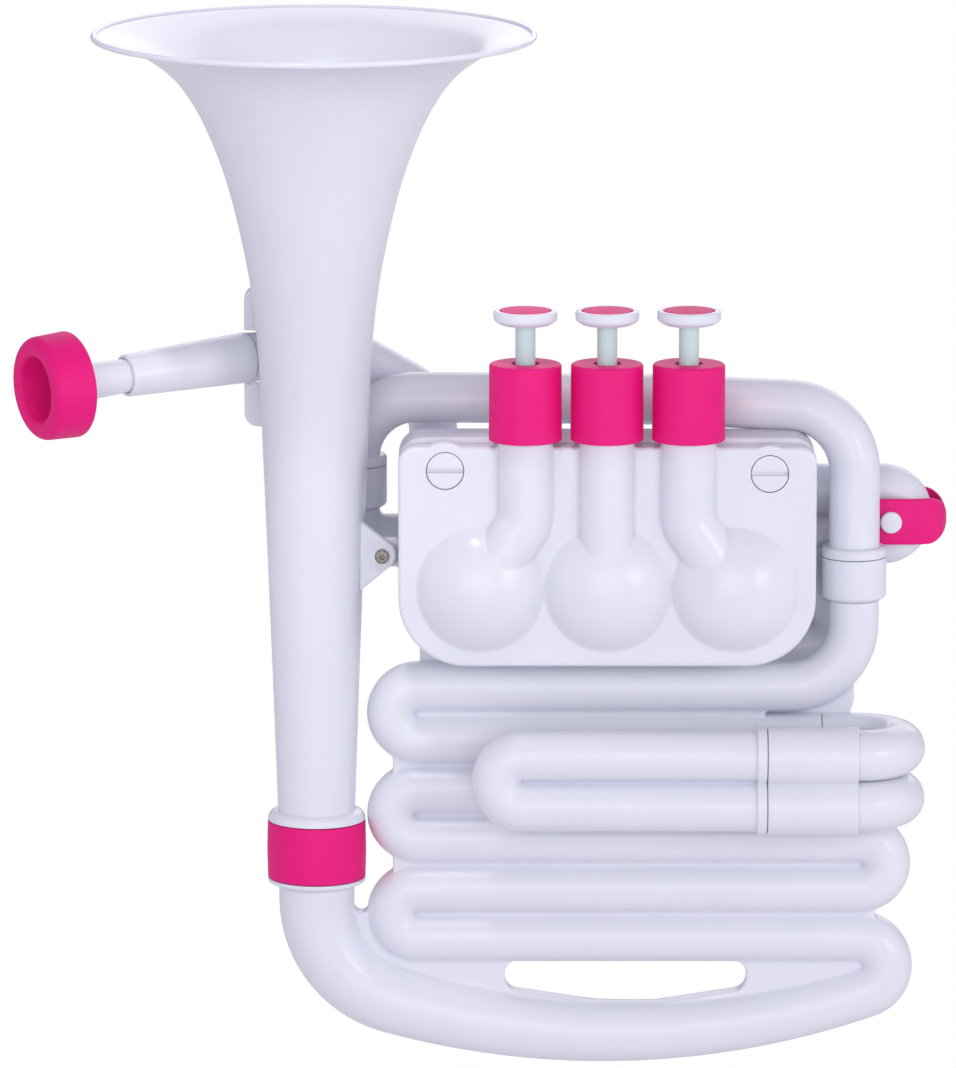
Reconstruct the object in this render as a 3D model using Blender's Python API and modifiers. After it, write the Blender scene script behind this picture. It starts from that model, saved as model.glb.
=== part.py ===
"""Plastic band horn with three ball valves, modelled piece by piece.

Metres, +Z up. The origin is the centre of the hand-grip slot, +X is the player's
right as the horn is seen from the front, and -Y is the front.
"""
import math

import bmesh
import bpy
from mathutils import Matrix, Vector

MM = 0.001

# Fits
SEAM = 0.3 * MM
WELD = 0.01 * MM
FLAT = math.radians(0.4)
SEAL_CORD = 0.6 * MM
SOCKET_CLEARANCE = 0.7 * MM
BEARING_GAP = 0.3 * MM

# Tubing
TUBE_RADIUS = 9.1 * MM
TUBE_WALL = 2.0 * MM
ROW_GAP = 0.84 * MM
ROW_WEB = 9.0 * MM
LEFT_BEND_X = -78.6 * MM
RISER_X = 84.0 * MM
RISER_BEND = 18.0 * MM

# Hand grip
GRIP_LENGTH = 91.8 * MM
GRIP_HEIGHT = 14.8 * MM
GRIP_CORNER = 5.5 * MM
GRIP_LIP = 0.9 * MM
GRIP_WEB = 5.0 * MM

# Bottom bow
BOW_RADIUS = 310.0 * MM
BOW_LOW_X = -7.8 * MM
BOW_MIDDLE_TUBE = 11.4 * MM
BOW_END_BEND = 10.5 * MM
HEEL_RADIUS = 38.0 * MM
HEEL_TUBE = 14.0 * MM

# Bell and its joint
BELL_X = -116.5 * MM
BELL_RIM_RADIUS = 81.6 * MM
BELL_SMALL_RADIUS = 14.1 * MM
BELL_LENGTH = 292.8 * MM
BELL_FLARE_POWER = 0.58
BELL_WALL = 2.2 * MM
BELL_BEAD = 1.5 * MM
BELL_SEAT_Z = 60.5 * MM
BELL_COLLAR_HEIGHT = 4.0 * MM
BELL_SPIGOT_RADIUS = 13.0 * MM
BELL_SPIGOT_LENGTH = 15.5 * MM
BELL_SOCKET_WALL = 2.7 * MM
BELL_SOCKET_FOOT = 23.0 * MM
BAND_WALL = 1.6 * MM
BAND_HEIGHT = 19.4 * MM

# Top crook
CROOK_Z = 221.0 * MM
CROOK_SOCKET_WALL = 2.3 * MM
CROOK_SOCKET_DEPTH = 16.5 * MM
CROOK_COLLAR = 4.0 * MM
CROOK_BEND_RIGHT = 24.4 * MM
CROOK_BEND_LEFT = 22.0 * MM
CROOK_LEFT_X = -102.3 * MM
CROOK_LEFT_Y = 31.0 * MM
CROOK_LEFT_SEAM_Z = 192.0 * MM
CROOK_RISER = 14.8 * MM

# Slides
SLIDE_SPIGOT_RADIUS = 8.3 * MM
SLIDE_BORE = 6.4 * MM
SLIDE_SOCKET_WALL = 1.8 * MM
SLIDE_COLLAR = 3.7 * MM
SLIDE_COLLAR_STEP = 1.1 * MM
SLIDE_WEB = 5.0 * MM
MAIN_SLIDE_Y = -31.0 * MM
MAIN_SLIDE_BOW_X = -38.5 * MM
MAIN_SLIDE_SEAM_X = 51.0 * MM
MAIN_SLIDE_SPIGOT = 29.0 * MM
MAIN_SOCKET_LENGTH = 33.6 * MM
REAR_JOINT_STEP = 0.25 * MM
REAR_JOINT_X = 48.3 * MM
REAR_JOINT_LENGTH = 23.9 * MM
REAR_JOINT_COLLAR = 11.2 * MM
REAR_LAYER_Y = 25.0 * MM
THIRD_SLIDE_Z = 174.9 * MM
THIRD_SLIDE_BOW_X = 93.0 * MM
THIRD_SLIDE_SEAM_X = 59.0 * MM
FIRST_SLIDE_Z = 133.5 * MM
FIRST_SLIDE_BOW_X = 68.5 * MM
FIRST_SLIDE_SEAM_X = 36.0 * MM
SECOND_SLIDE_X = -30.5 * MM
SECOND_SLIDE_BOW_Y = 36.0 * MM
SECOND_SLIDE_SEAM_Y = 29.0 * MM
VALVE_SLIDE_SPIGOT = 21.0 * MM
VALVE_SOCKET_LENGTH = 24.0 * MM
PORT_BEND = 12.0 * MM

# Mouthpiece and leadpipe
MOUTH_AXIS = Vector((0.861, 0.507, 0.048)).normalized()
MOUTH_FACE = Vector((-216.9, -22.6, 229.6)) * MM
LEADPIPE_START = 38.3 * MM
LEADPIPE_TIP_RADIUS = 7.6 * MM
LEADPIPE_SLEEVE_END = 87.0 * MM
LEADPIPE_SLEEVE_RADIUS = 9.5 * MM
LEADPIPE_TURN = Vector((-108.0, 41.5, 234.9)) * MM
LEADPIPE_DROP = Vector((-73.0, 56.0, 213.0)) * MM
LEADPIPE_TAIL_Z = 190.0 * MM
LEADPIPE_BENDS = (40.0 * MM, 20.0 * MM, 10.5 * MM)
WING_LEFT_X = -142.5 * MM
WING_LOW_Z = 210.0 * MM
WING_HIGH_Z = 259.5 * MM
WING_FRONT_Y = 20.0 * MM
WING_BACK_Y = 26.0 * MM
WING_CORNER = 5.0 * MM
RIM_COVER_LENGTH = 14.2 * MM
RIM_COVER_RADIUS = 19.8 * MM
CUP_MOUTH_RADIUS = 11.5 * MM
CUP_WALL = 1.9 * MM
RIM_COVER_LINING = 1.4 * MM
CUP_DEPTH = 22.0 * MM
SHANK_RADIUS = 6.3 * MM
SHANK_BORE = 3.4 * MM
SHANK_DEPTH = 22.0 * MM

# Valve housing
COVER_LEFT_X = -85.2 * MM
COVER_RIGHT_X = 69.6 * MM
COVER_BOTTOM_Z = 126.1 * MM
COVER_TOP_Z = 209.7 * MM
COVER_FACE_Y = -26.0 * MM
COVER_DEPTH = 10.0 * MM
COVER_WALL = 2.8 * MM
COVER_TOP_CORNER = 6.0 * MM
COVER_LOW_CORNER = 26.0 * MM
EDGE_ROUND = 0.8 * MM
HOUSING_BACK_Y = 5.0 * MM
POCKET_TOP_Z = 190.0 * MM
VALVE_Z = 155.2 * MM
VALVE_X = (-55.3 * MM, -8.0 * MM, 39.0 * MM)
STEM_X = (-38.7 * MM, -8.6 * MM, 21.2 * MM)
STEM_Y = -24.0 * MM
DOME_BASE_RADIUS = 23.0 * MM
DOME_RISE = 11.0 * MM
DOME_WALL = 2.4 * MM
GUIDE_RADIUS = 10.2 * MM
GUIDE_KNEE_Z = 181.0 * MM
NECK_HEIGHT = 6.0 * MM
SCREW_SPOTS = ((-68.2 * MM, 199.9 * MM), (51.6 * MM, 198.8 * MM))
SCREW_HEAD_RADIUS = 6.8 * MM
SCREW_HEAD_DEPTH = 3.0 * MM
SCREW_SHANK_RADIUS = 3.0 * MM
SCREW_LENGTH = 17.0 * MM
SCREW_SLOT = 1.6 * MM
LUG_RADIUS = 12.0 * MM

# Rotor, gear and rack
ROTOR_RADIUS = 18.0 * MM
ROTOR_Y = -6.0 * MM
ROTOR_FRONT_Y = -17.0 * MM
ROTOR_BACK_Y = 1.0 * MM
ROTOR_PASSAGE = 5.6 * MM
TRUNNION_RADIUS = 3.0 * MM
TOOTH_PITCH = 4.0 * MM
GEAR_TEETH = 12
TOOTH_ADDENDUM = 0.95 * MM
TOOTH_DEDENDUM = 1.45 * MM
GEAR_WIDTH = 5.0 * MM
RACK_TEETH = 6
RACK_BACK = 3.6 * MM

# Plungers
STEM_RADIUS = 3.7 * MM
STEM_FOOT = 5.0 * MM
PLUNGER_TRAVEL = 12.0 * MM
CAP_RADIUS = 13.2 * MM
CAP_TOP_Z = 238.5 * MM
CAP_BOTTOM_Z = 212.3 * MM
CAP_ROUND = 2.0 * MM
CAP_CEILING = 3.6 * MM
BUTTON_RADIUS = 11.5 * MM
BUTTON_THICKNESS = 5.2 * MM
BUTTON_TOP_Z = 259.7 * MM
PAD_RADIUS = 9.3 * MM
PAD_THICKNESS = 1.2 * MM
SPRING_WIRE = 0.45 * MM
SPRING_RADIUS = 6.2 * MM
SPRING_TURNS = 4
SPRING_SEAT_Z = 205.0 * MM
SPRING_BORE = 7.5 * MM
STEM_COLLAR_HEIGHT = 2.0 * MM

# Finger strap on the third slide
STRAP_WIDTH = 17.3 * MM
STRAP_THICKNESS = 2.0 * MM
STRAP_STAND_OFF = 7.5 * MM
STUD_RADIUS = 4.1 * MM
STUD_X = 99.2 * MM
STUD_HEAD = 1.5 * MM
STUD_SHANK = 1.8 * MM

# Bell screw
BELL_SCREW_X = -91.7 * MM
BELL_SCREW_Z = 164.3 * MM
TAB_THICKNESS = 5.0 * MM
TAB_BACK_Y = -2.0 * MM
TAB_HALF_HEIGHT = 12.0 * MM
BOSS_RADIUS = 5.2 * MM
BELL_SCREW_HEAD = 2.6 * MM

# Facets
TUBE_RINGS = 3
PORT_RINGS = 3
BORE_RINGS = 1
BEND_STEP = math.radians(30.0)
ROUND_STEPS = 12
BELL_STEPS = 22
SEAL_STEPS = 11
ROTOR_STEPS = 14

# What follows from the sizes above
ROW_PITCH = 2 * TUBE_RADIUS + ROW_GAP
ROW_BEND = ROW_PITCH / 2
FIRST_ROW_Z = GRIP_HEIGHT / 2 + GRIP_LIP + TUBE_RADIUS
BOW_LOW_Z = -GRIP_HEIGHT / 2 - BOW_MIDDLE_TUBE
CROOK_RIGHT_SEAM_Z = FIRST_ROW_Z + 5 * ROW_PITCH + RISER_BEND + CROOK_RISER + CROOK_SOCKET_DEPTH
SPIGOT_SOCKET = SLIDE_SPIGOT_RADIUS + SOCKET_CLEARANCE
SLIDE_SOCKET = SPIGOT_SOCKET + SLIDE_SOCKET_WALL
CROOK_BORE = TUBE_RADIUS + SOCKET_CLEARANCE
CROOK_SOCKET = CROOK_BORE + CROOK_SOCKET_WALL
BELL_BORE = BELL_SPIGOT_RADIUS + SOCKET_CLEARANCE
BELL_SOCKET = BELL_BORE + BELL_SOCKET_WALL
BAND_RADIUS = BELL_SOCKET + SEAM + BAND_WALL
REAR_JOINT = TUBE_RADIUS + REAR_JOINT_STEP
GEAR_PITCH_RADIUS = TOOTH_PITCH * GEAR_TEETH / (2 * math.pi)
GEAR_FRONT_Y = ROTOR_FRONT_Y - GEAR_WIDTH
HOUSING_FRONT_Y = COVER_FACE_Y + COVER_DEPTH
STEM_FOOT_HIGH_Z = POCKET_TOP_Z - 5 * SEAM
STEM_FOOT_LOW_Z = STEM_FOOT_HIGH_Z - STEM_FOOT

WHITE = ("white_plastic", (0.78, 0.78, 0.88), 0.32, 0.0)
PINK = ("pink_plastic", (0.83, 0.012, 0.25), 0.42, 0.0)
MINT = ("mint_plastic", (0.72, 0.86, 0.83), 0.35, 0.0)
RUBBER = ("seal_rubber", (0.03, 0.03, 0.035), 0.7, 0.0)
STEEL = ("screw_steel", (0.12, 0.11, 0.10), 0.4, 1.0)
SPRING_STEEL = ("spring_steel", (0.55, 0.55, 0.57), 0.3, 1.0)


def row_z(row):
    """Height of a tubing row's axis, counted from the bottom row."""
    return FIRST_ROW_Z + row * ROW_PITCH


def clear_scene():
    """Remove everything that the scene holds."""
    for obj in list(bpy.data.objects):
        bpy.data.objects.remove(obj, do_unlink=True)


def make_collection(name):
    """A new collection in the scene."""
    collection = bpy.data.collections.new(name)
    bpy.context.scene.collection.children.link(collection)
    return collection


def finish_of(spec):
    """The Principled material for a finish, made once."""
    name, colour, roughness, metallic = spec
    found = bpy.data.materials.get(name)
    if found:
        return found
    made = bpy.data.materials.new(name)
    made.use_nodes = True
    shader = made.node_tree.nodes["Principled BSDF"]
    shader.inputs["Base Color"].default_value = (*colour, 1)
    shader.inputs["Roughness"].default_value = roughness
    shader.inputs["Metallic"].default_value = metallic
    made.diffuse_color = (*colour, 1)
    return made


def baked(obj):
    """Replace an object by a plain welded mesh of what it evaluates to, in its own space."""
    bpy.context.view_layer.update()
    depsgraph = bpy.context.evaluated_depsgraph_get()
    mesh = bpy.data.meshes.new_from_object(obj.evaluated_get(depsgraph))
    work = bmesh.new()
    work.from_mesh(mesh)
    bmesh.ops.remove_doubles(work, verts=work.verts, dist=WELD)
    work.to_mesh(mesh)
    work.free()
    name = obj.name
    matrix = obj.matrix_world.copy()
    bpy.data.objects.remove(obj, do_unlink=True)
    solid = bpy.data.objects.new(name, mesh)
    solid.matrix_world = matrix
    TOOLS.objects.link(solid)
    solid.hide_render = True
    solid.display_type = "WIRE"
    return solid


def placing(at, axis=(0, 0, 1)):
    """The matrix that takes local +Z to an axis and the local origin to a point."""
    turn = Vector(axis).to_track_quat("Z", "Y").to_matrix().to_4x4()
    return Matrix.Translation(Vector(at)) @ turn


def lathe(name, profile, at=(0, 0, 0), axis=(0, 0, 1), steps=ROUND_STEPS, closed=True):
    """A turned solid. The profile holds (radius, height) down the outer side, then up the inner."""
    mesh = bpy.data.meshes.new(name)
    count = len(profile)
    edges = [(i, i + 1) for i in range(count - 1)]
    if closed:
        edges.append((count - 1, 0))
    mesh.from_pydata([(radius, 0, height) for radius, height in profile], edges, [])
    obj = bpy.data.objects.new(name, mesh)
    TOOLS.objects.link(obj)
    screw = obj.modifiers.new("Turn", "SCREW")
    screw.steps = steps
    screw.render_steps = steps
    screw.use_merge_vertices = True
    screw.merge_threshold = 0.00001
    obj.matrix_world = placing(at, axis)
    return baked(obj)


def rod(name, radius, start, end, steps=ROUND_STEPS):
    """A round bar between two points."""
    start = Vector(start)
    run = Vector(end) - start
    profile = [(0, run.length), (radius, run.length), (radius, 0), (0, 0)]
    return lathe(name, profile, start, run, steps, closed=False)


def drill(radius, start, end, steps=ROUND_STEPS):
    """The cutter for a round hole whose flats, not its corners, keep the radius."""
    return rod("drill", radius / math.cos(math.pi / steps), start, end, steps)


def tube(name, points, radius, scales=None, rings=TUBE_RINGS):
    """A round bar that follows points, with an optional scale of its radius at each."""
    curve = bpy.data.curves.new(name, "CURVE")
    curve.dimensions = "3D"
    curve.bevel_depth = radius
    curve.bevel_resolution = rings
    curve.use_fill_caps = True
    spline = curve.splines.new("POLY")
    spline.points.add(len(points) - 1)
    for index, point in enumerate(points):
        spline.points[index].co = (*point, 1)
        spline.points[index].radius = scales[index] if scales else 1
    obj = bpy.data.objects.new(name, curve)
    TOOLS.objects.link(obj)
    return baked(obj)


def plate(name, outline, front, back, edge_round=0.0):
    """A flat piece with an (x, z) outline, between two depths."""
    curve = bpy.data.curves.new(name, "CURVE")
    curve.dimensions = "2D"
    curve.fill_mode = "BOTH"
    curve.extrude = (back - front) / 2 - edge_round
    curve.bevel_depth = edge_round
    curve.bevel_resolution = 0
    curve.offset = -edge_round
    spline = curve.splines.new("POLY")
    spline.use_cyclic_u = True
    spline.points.add(len(outline) - 1)
    for index, (x, z) in enumerate(outline):
        spline.points[index].co = (x, z, 0, 1)
    obj = bpy.data.objects.new(name, curve)
    TOOLS.objects.link(obj)
    obj.matrix_world = Matrix.Translation((0, (front + back) / 2, 0)) @ Matrix.Rotation(math.pi / 2, 4, "X")
    return baked(obj)


def arc(centre, radius, start, end, step=BEND_STEP):
    """Points (x, z) along an arc, its two ends included."""
    count = max(2, math.ceil(abs(end - start) / step))
    turns = [start + (end - start) * i / count for i in range(count + 1)]
    return [(centre[0] + radius * math.cos(turn), centre[1] + radius * math.sin(turn)) for turn in turns]


def rounded_box(left, right, bottom, top, low_corner, top_corner):
    """An (x, z) outline with round corners."""
    quarter = math.pi / 2
    corners = (
        ((left + low_corner, bottom + low_corner), low_corner, 2 * quarter),
        ((right - low_corner, bottom + low_corner), low_corner, 3 * quarter),
        ((right - top_corner, top - top_corner), top_corner, 4 * quarter),
        ((left + top_corner, top - top_corner), top_corner, 5 * quarter),
    )
    outline = []
    for centre, radius, start in corners:
        outline += arc(centre, radius, start, start + quarter)
    return outline


def route(corners, bends):
    """Straight runs through corner points, with a round bend at each inner corner."""
    corners = [Vector(corner) for corner in corners]
    points = [corners[0]]
    for before, corner, after, bend in zip(corners, corners[1:], corners[2:], bends):
        inward = (before - corner).normalized()
        outward = (after - corner).normalized()
        turn = math.pi - inward.angle(outward)
        start = corner + inward * bend * math.tan(turn / 2)
        centre = corner + (inward + outward).normalized() * bend / math.cos(turn / 2)
        axis = outward.cross(inward)
        count = max(2, math.ceil(turn / BEND_STEP))
        for i in range(count + 1):
            point = centre + Matrix.Rotation(turn * i / count, 3, axis) @ (start - centre)
            if (point - points[-1]).length > SEAM:
                points.append(point)
    points.append(corners[-1])
    return points


def loose_edges(work):
    """How many edges of a mesh don't join exactly two faces."""
    return sum(1 for edge in work.edges if len(edge.link_faces) != 2)


def settle(obj):
    """Take a solid's modifiers into its mesh, weld what nearly meets and merge flat faces."""
    bpy.context.view_layer.update()
    depsgraph = bpy.context.evaluated_depsgraph_get()
    mesh = bpy.data.meshes.new_from_object(obj.evaluated_get(depsgraph))
    obj.modifiers.clear()
    obj.data = mesh
    loose = 0
    for flat in (0, FLAT):
        work = bmesh.new()
        work.from_mesh(mesh)
        bmesh.ops.remove_doubles(work, verts=work.verts, dist=WELD)
        bmesh.ops.dissolve_degenerate(work, edges=work.edges, dist=WELD)
        if flat:
            bmesh.ops.dissolve_limit(work, angle_limit=flat, verts=work.verts, edges=work.edges)
        count = loose_edges(work)
        if not flat or not count:
            work.to_mesh(mesh)
            loose = count
        work.free()
    return loose


def faceted(mesh):
    """Split a mesh's faces into triangles in a way that keeps its surface closed."""
    for method in ("BEAUTY", "EAR_CLIP"):
        for quads in ("BEAUTY", "SHORT_EDGE", "LONG_EDGE"):
            work = bmesh.new()
            work.from_mesh(mesh)
            bmesh.ops.triangulate(work, faces=work.faces, quad_method=quads, ngon_method=method)
            closed = not loose_edges(work)
            if closed:
                work.to_mesh(mesh)
            work.free()
            if closed:
                return
    print("%s: no closed set of triangles" % mesh.name)


def combine(target, others, operation):
    """Boolean solids into a target, one after another, and remove them."""
    for other in others:
        step = target.modifiers.new(other.name, "BOOLEAN")
        step.operation = operation
        step.solver = "EXACT"
        step.object = other
        loose = settle(target)
        if loose:
            print("%s %s %s: %d loose edges" % (target.name, operation, other.name, loose))
        bpy.data.objects.remove(other, do_unlink=True)
    return target


def join(target, *others):
    """Fuse solids with a target."""
    return combine(target, others, "UNION")


def cut(target, *others):
    """Take solids away from a target."""
    return combine(target, others, "DIFFERENCE")


def part(name, solid, finish):
    """Make a solid a named piece of the horn, with its finish."""
    solid.name = name
    solid.data.name = name
    faceted(solid.data)
    solid.data.shade_smooth()
    solid.data.set_sharp_from_angle(angle=math.radians(35))
    solid.data.materials.clear()
    solid.data.materials.append(finish_of(finish))
    TOOLS.objects.unlink(solid)
    HORN.objects.link(solid)
    solid.hide_render = False
    solid.display_type = "TEXTURED"
    return solid


def carry(parent, *children):
    """Parent pieces to the one that carries them, where they are."""
    bpy.context.view_layer.update()
    for child in children:
        child.parent = parent
        child.matrix_parent_inverse = parent.matrix_world.inverted()


def ring_profile(inner, outer, low, high):
    """The profile of a plain ring."""
    return [(outer, high), (outer, low), (inner, low), (inner, high)]


def seal_seat(spigot_radius, at, axis):
    """The cutter for a sealing ring's groove in a spigot."""
    floor = spigot_radius + SOCKET_CLEARANCE - 2 * SEAM - 2 * SEAL_CORD
    half = SEAL_CORD + SEAM
    return lathe("groove", ring_profile(floor, spigot_radius + MM, -half, half), at, axis, SEAL_STEPS)


def seal(name, spigot_radius, at, axis=(0, 0, 1)):
    """A sealing ring that fills its groove and stops short of the socket."""
    middle = spigot_radius + SOCKET_CLEARANCE - SEAM - SEAL_CORD
    sides = 5
    turns = [-2 * math.pi * i / sides for i in range(sides)]
    profile = [(middle + SEAL_CORD * math.cos(turn), SEAL_CORD * math.sin(turn)) for turn in turns]
    return part(name, lathe(name, profile, at, axis, SEAL_STEPS), RUBBER)


def flare():
    """The bell's outer wall as (radius, height, slope angle), from the rim down to the collar."""
    low = BELL_SEAT_Z + BELL_COLLAR_HEIGHT
    rim = low + BELL_LENGTH
    spread = (BELL_RIM_RADIUS / BELL_SMALL_RADIUS) ** (1 / BELL_FLARE_POWER)
    apex = (spread * rim - low) / (spread - 1)
    scale = BELL_RIM_RADIUS * (apex - rim) ** BELL_FLARE_POWER
    count = 8
    wall = []
    for i in range(count + 1):
        radius = BELL_RIM_RADIUS * (BELL_SMALL_RADIUS / BELL_RIM_RADIUS) ** (i / count)
        reach = (scale / radius) ** (1 / BELL_FLARE_POWER)
        wall.append((radius, apex - reach, math.atan(BELL_FLARE_POWER * radius / reach)))
    return wall


def bell_radius(height):
    """The bell's outer radius at a height."""
    wall = flare()
    for upper, lower in zip(wall, wall[1:]):
        if lower[1] <= height <= upper[1]:
            share = (height - lower[1]) / (upper[1] - lower[1])
            return lower[0] + share * (upper[0] - lower[0])
    return BELL_SMALL_RADIUS


def make_bell():
    """Flared bell with its collar, spigot, screw tab and leadpipe wing."""
    wall = flare()
    rim_radius, rim_z, rim_slope = wall[0]
    bead_turns = [math.radians(turn) for turn in (120, 60, 0, -60)]
    bead_centre = (rim_radius - BELL_BEAD * 0.6, rim_z + BELL_WALL / 2)
    bead = [
        (bead_centre[0] + BELL_BEAD * math.cos(turn), bead_centre[1] + BELL_BEAD * math.sin(turn))
        for turn in bead_turns
    ]
    inner = [
        (radius - BELL_WALL * math.cos(slope), height + BELL_WALL * math.sin(slope))
        for radius, height, slope in wall[1:]
    ]
    seat = BELL_SEAT_Z
    tip = seat - BELL_SPIGOT_LENGTH
    outside = bead + [(radius, height) for radius, height, _ in wall[1:]]
    outside += [
        (BAND_RADIUS - EDGE_ROUND, seat + EDGE_ROUND),
        (BAND_RADIUS, seat + EDGE_ROUND / 2),
        (BAND_RADIUS, seat + SEAM),
        (BELL_SPIGOT_RADIUS, seat + SEAM),
        (BELL_SPIGOT_RADIUS, tip),
        (0, tip),
    ]
    centre = (BELL_X, 0, 0)
    shell = lathe("bell", [(0, bead[0][1])] + outside, centre, steps=BELL_STEPS, closed=False)

    base_x = BELL_X + bell_radius(BELL_SCREW_Z) - BELL_WALL
    boss = arc((BELL_SCREW_X, BELL_SCREW_Z), BOSS_RADIUS, -math.radians(60), math.radians(60))
    tab_outline = [(base_x, BELL_SCREW_Z - TAB_HALF_HEIGHT)] + boss
    tab_outline += [(base_x, BELL_SCREW_Z + TAB_HALF_HEIGHT)]
    tab = plate("tab", tab_outline, TAB_BACK_Y - TAB_THICKNESS, TAB_BACK_Y)
    join(shell, tab, make_wing())

    bore_radius = BELL_SPIGOT_RADIUS - TUBE_WALL
    hollow_profile = [(0, rim_z + BELL_BEAD * 3), (bead[0][0] + BELL_BEAD, rim_z + BELL_BEAD * 3), bead[0]]
    hollow_profile += inner + [(bore_radius, tip), (bore_radius, tip - 1 * MM), (0, tip - 1 * MM)]
    hollow = lathe("hollow", hollow_profile, centre, steps=BELL_STEPS, closed=False)
    hole_y = TAB_BACK_Y - TAB_THICKNESS
    screw_hole = drill(
        STUD_SHANK + SEAM,
        (BELL_SCREW_X, hole_y - SEAM, BELL_SCREW_Z),
        (BELL_SCREW_X, TAB_BACK_Y + SEAM, BELL_SCREW_Z),
        12,
    )
    sleeve = LEADPIPE_SLEEVE_END
    hole_radius = LEADPIPE_SLEEVE_RADIUS + MM
    pipe_hole = drill(hole_radius, mouth_point(sleeve - 20 * MM), mouth_point(sleeve + 22 * MM))
    cut(shell, hollow, screw_hole, pipe_hole)
    groove_z = seat - BELL_SPIGOT_LENGTH / 2
    cut(shell, seal_seat(BELL_SPIGOT_RADIUS, (BELL_X, 0, groove_z), (0, 0, 1)))
    part("bell", shell, WHITE)
    seal("bell_seal", BELL_SPIGOT_RADIUS, (BELL_X, 0, groove_z))


def make_wing():
    """The upright plate on the bell that the leadpipe passes through."""
    outline = rounded_box(WING_LEFT_X, BELL_X - 3 * MM, WING_LOW_Z, WING_HIGH_Z, WING_CORNER, WING_CORNER)
    return plate("wing", outline, WING_FRONT_Y, WING_BACK_Y)


def mouth_point(distance):
    """A point on the mouthpiece's axis, measured from its rim face."""
    return MOUTH_FACE + MOUTH_AXIS * distance


def make_band():
    """Soft band round the bell's joint."""
    top = BELL_SEAT_Z
    profile = ring_profile(BELL_SOCKET + SEAM, BAND_RADIUS, top - BAND_HEIGHT, top)
    part("bell_band", lathe("bell_band", profile, (BELL_X, 0, 0), steps=20), PINK)


def bow_circles():
    """Centres (x, z) of the bottom bow, its end bend and its heel."""
    bow = (BOW_LOW_X, BOW_LOW_Z + BOW_RADIUS)
    end_z = row_z(0) - BOW_END_BEND
    end_reach = math.sqrt((BOW_RADIUS - BOW_END_BEND) ** 2 - (bow[1] - end_z) ** 2)
    heel_x = BELL_X + HEEL_RADIUS
    heel_drop = math.sqrt((BOW_RADIUS - HEEL_RADIUS) ** 2 - (heel_x - BOW_LOW_X) ** 2)
    return bow, (BOW_LOW_X + end_reach, end_z), (heel_x, bow[1] - heel_drop)


def right_bend_x():
    """Where the rows start to bend at the right, in line with the bottom bow's end."""
    return bow_circles()[1][0] + BOW_END_BEND - ROW_BEND


def bow_path():
    """Points from the end of the lowest row round the bottom bow to the bell's socket."""
    bow, end, heel = bow_circles()
    end_turn = math.atan2(end[1] - bow[1], end[0] - bow[0])
    heel_turn = math.atan2(heel[1] - bow[1], heel[0] - bow[0])
    points = arc(end, BOW_END_BEND, math.pi / 2, end_turn)
    points += arc(bow, BOW_RADIUS, end_turn, heel_turn, BEND_STEP / 5)[1:]
    points += arc(heel, HEEL_RADIUS, heel_turn, -math.pi, BEND_STEP / 1.3)[1:]
    points.append((BELL_X, BELL_SEAT_Z - BELL_SOCKET_FOOT + SEAM))
    return [Vector((x, 0, z)) for x, z in points]


def lower_path():
    """Points and radii of the tubing from the lower rear joint to the bell."""
    left = LEFT_BEND_X - ROW_BEND
    right = right_bend_x() + ROW_BEND
    corners = [(REAR_JOINT_X + MM, 0, row_z(3)), (left, 0, row_z(3)), (left, 0, row_z(2))]
    corners += [(right, 0, row_z(2)), (right, 0, row_z(1)), (left, 0, row_z(1)), (left, 0, row_z(0))]
    bow = bow_path()
    corners.append(bow[0])
    rows = route(corners, [ROW_BEND] * 6)[:-1]
    points = rows + bow
    lengths = [0]
    for before, after in zip(bow, bow[1:]):
        lengths.append(lengths[-1] + (after - before).length)
    growth = HEEL_TUBE - TUBE_RADIUS
    radii = [TUBE_RADIUS] * len(rows)
    radii += [TUBE_RADIUS + growth * length / lengths[-1] for length in lengths]
    return points, radii


def upper_path():
    """Points of the tubing from the crook's joint down to the upper rear joint."""
    left = LEFT_BEND_X - ROW_BEND
    top = CROOK_RIGHT_SEAM_Z - CROOK_SOCKET_DEPTH
    corners = [(RISER_X, 0, top), (RISER_X, 0, row_z(5)), (left, 0, row_z(5)), (left, 0, row_z(4))]
    corners.append((REAR_JOINT_X + MM, 0, row_z(4)))
    return route(corners, [RISER_BEND, ROW_BEND, ROW_BEND])


def lengthened(points, distance):
    """The same points with both ends run on, so that a cutter clears its piece."""
    first = points[0] + (points[0] - points[1]).normalized() * distance
    last = points[-1] + (points[-1] - points[-2]).normalized() * distance
    return [first] + list(points[1:-1]) + [last]


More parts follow.
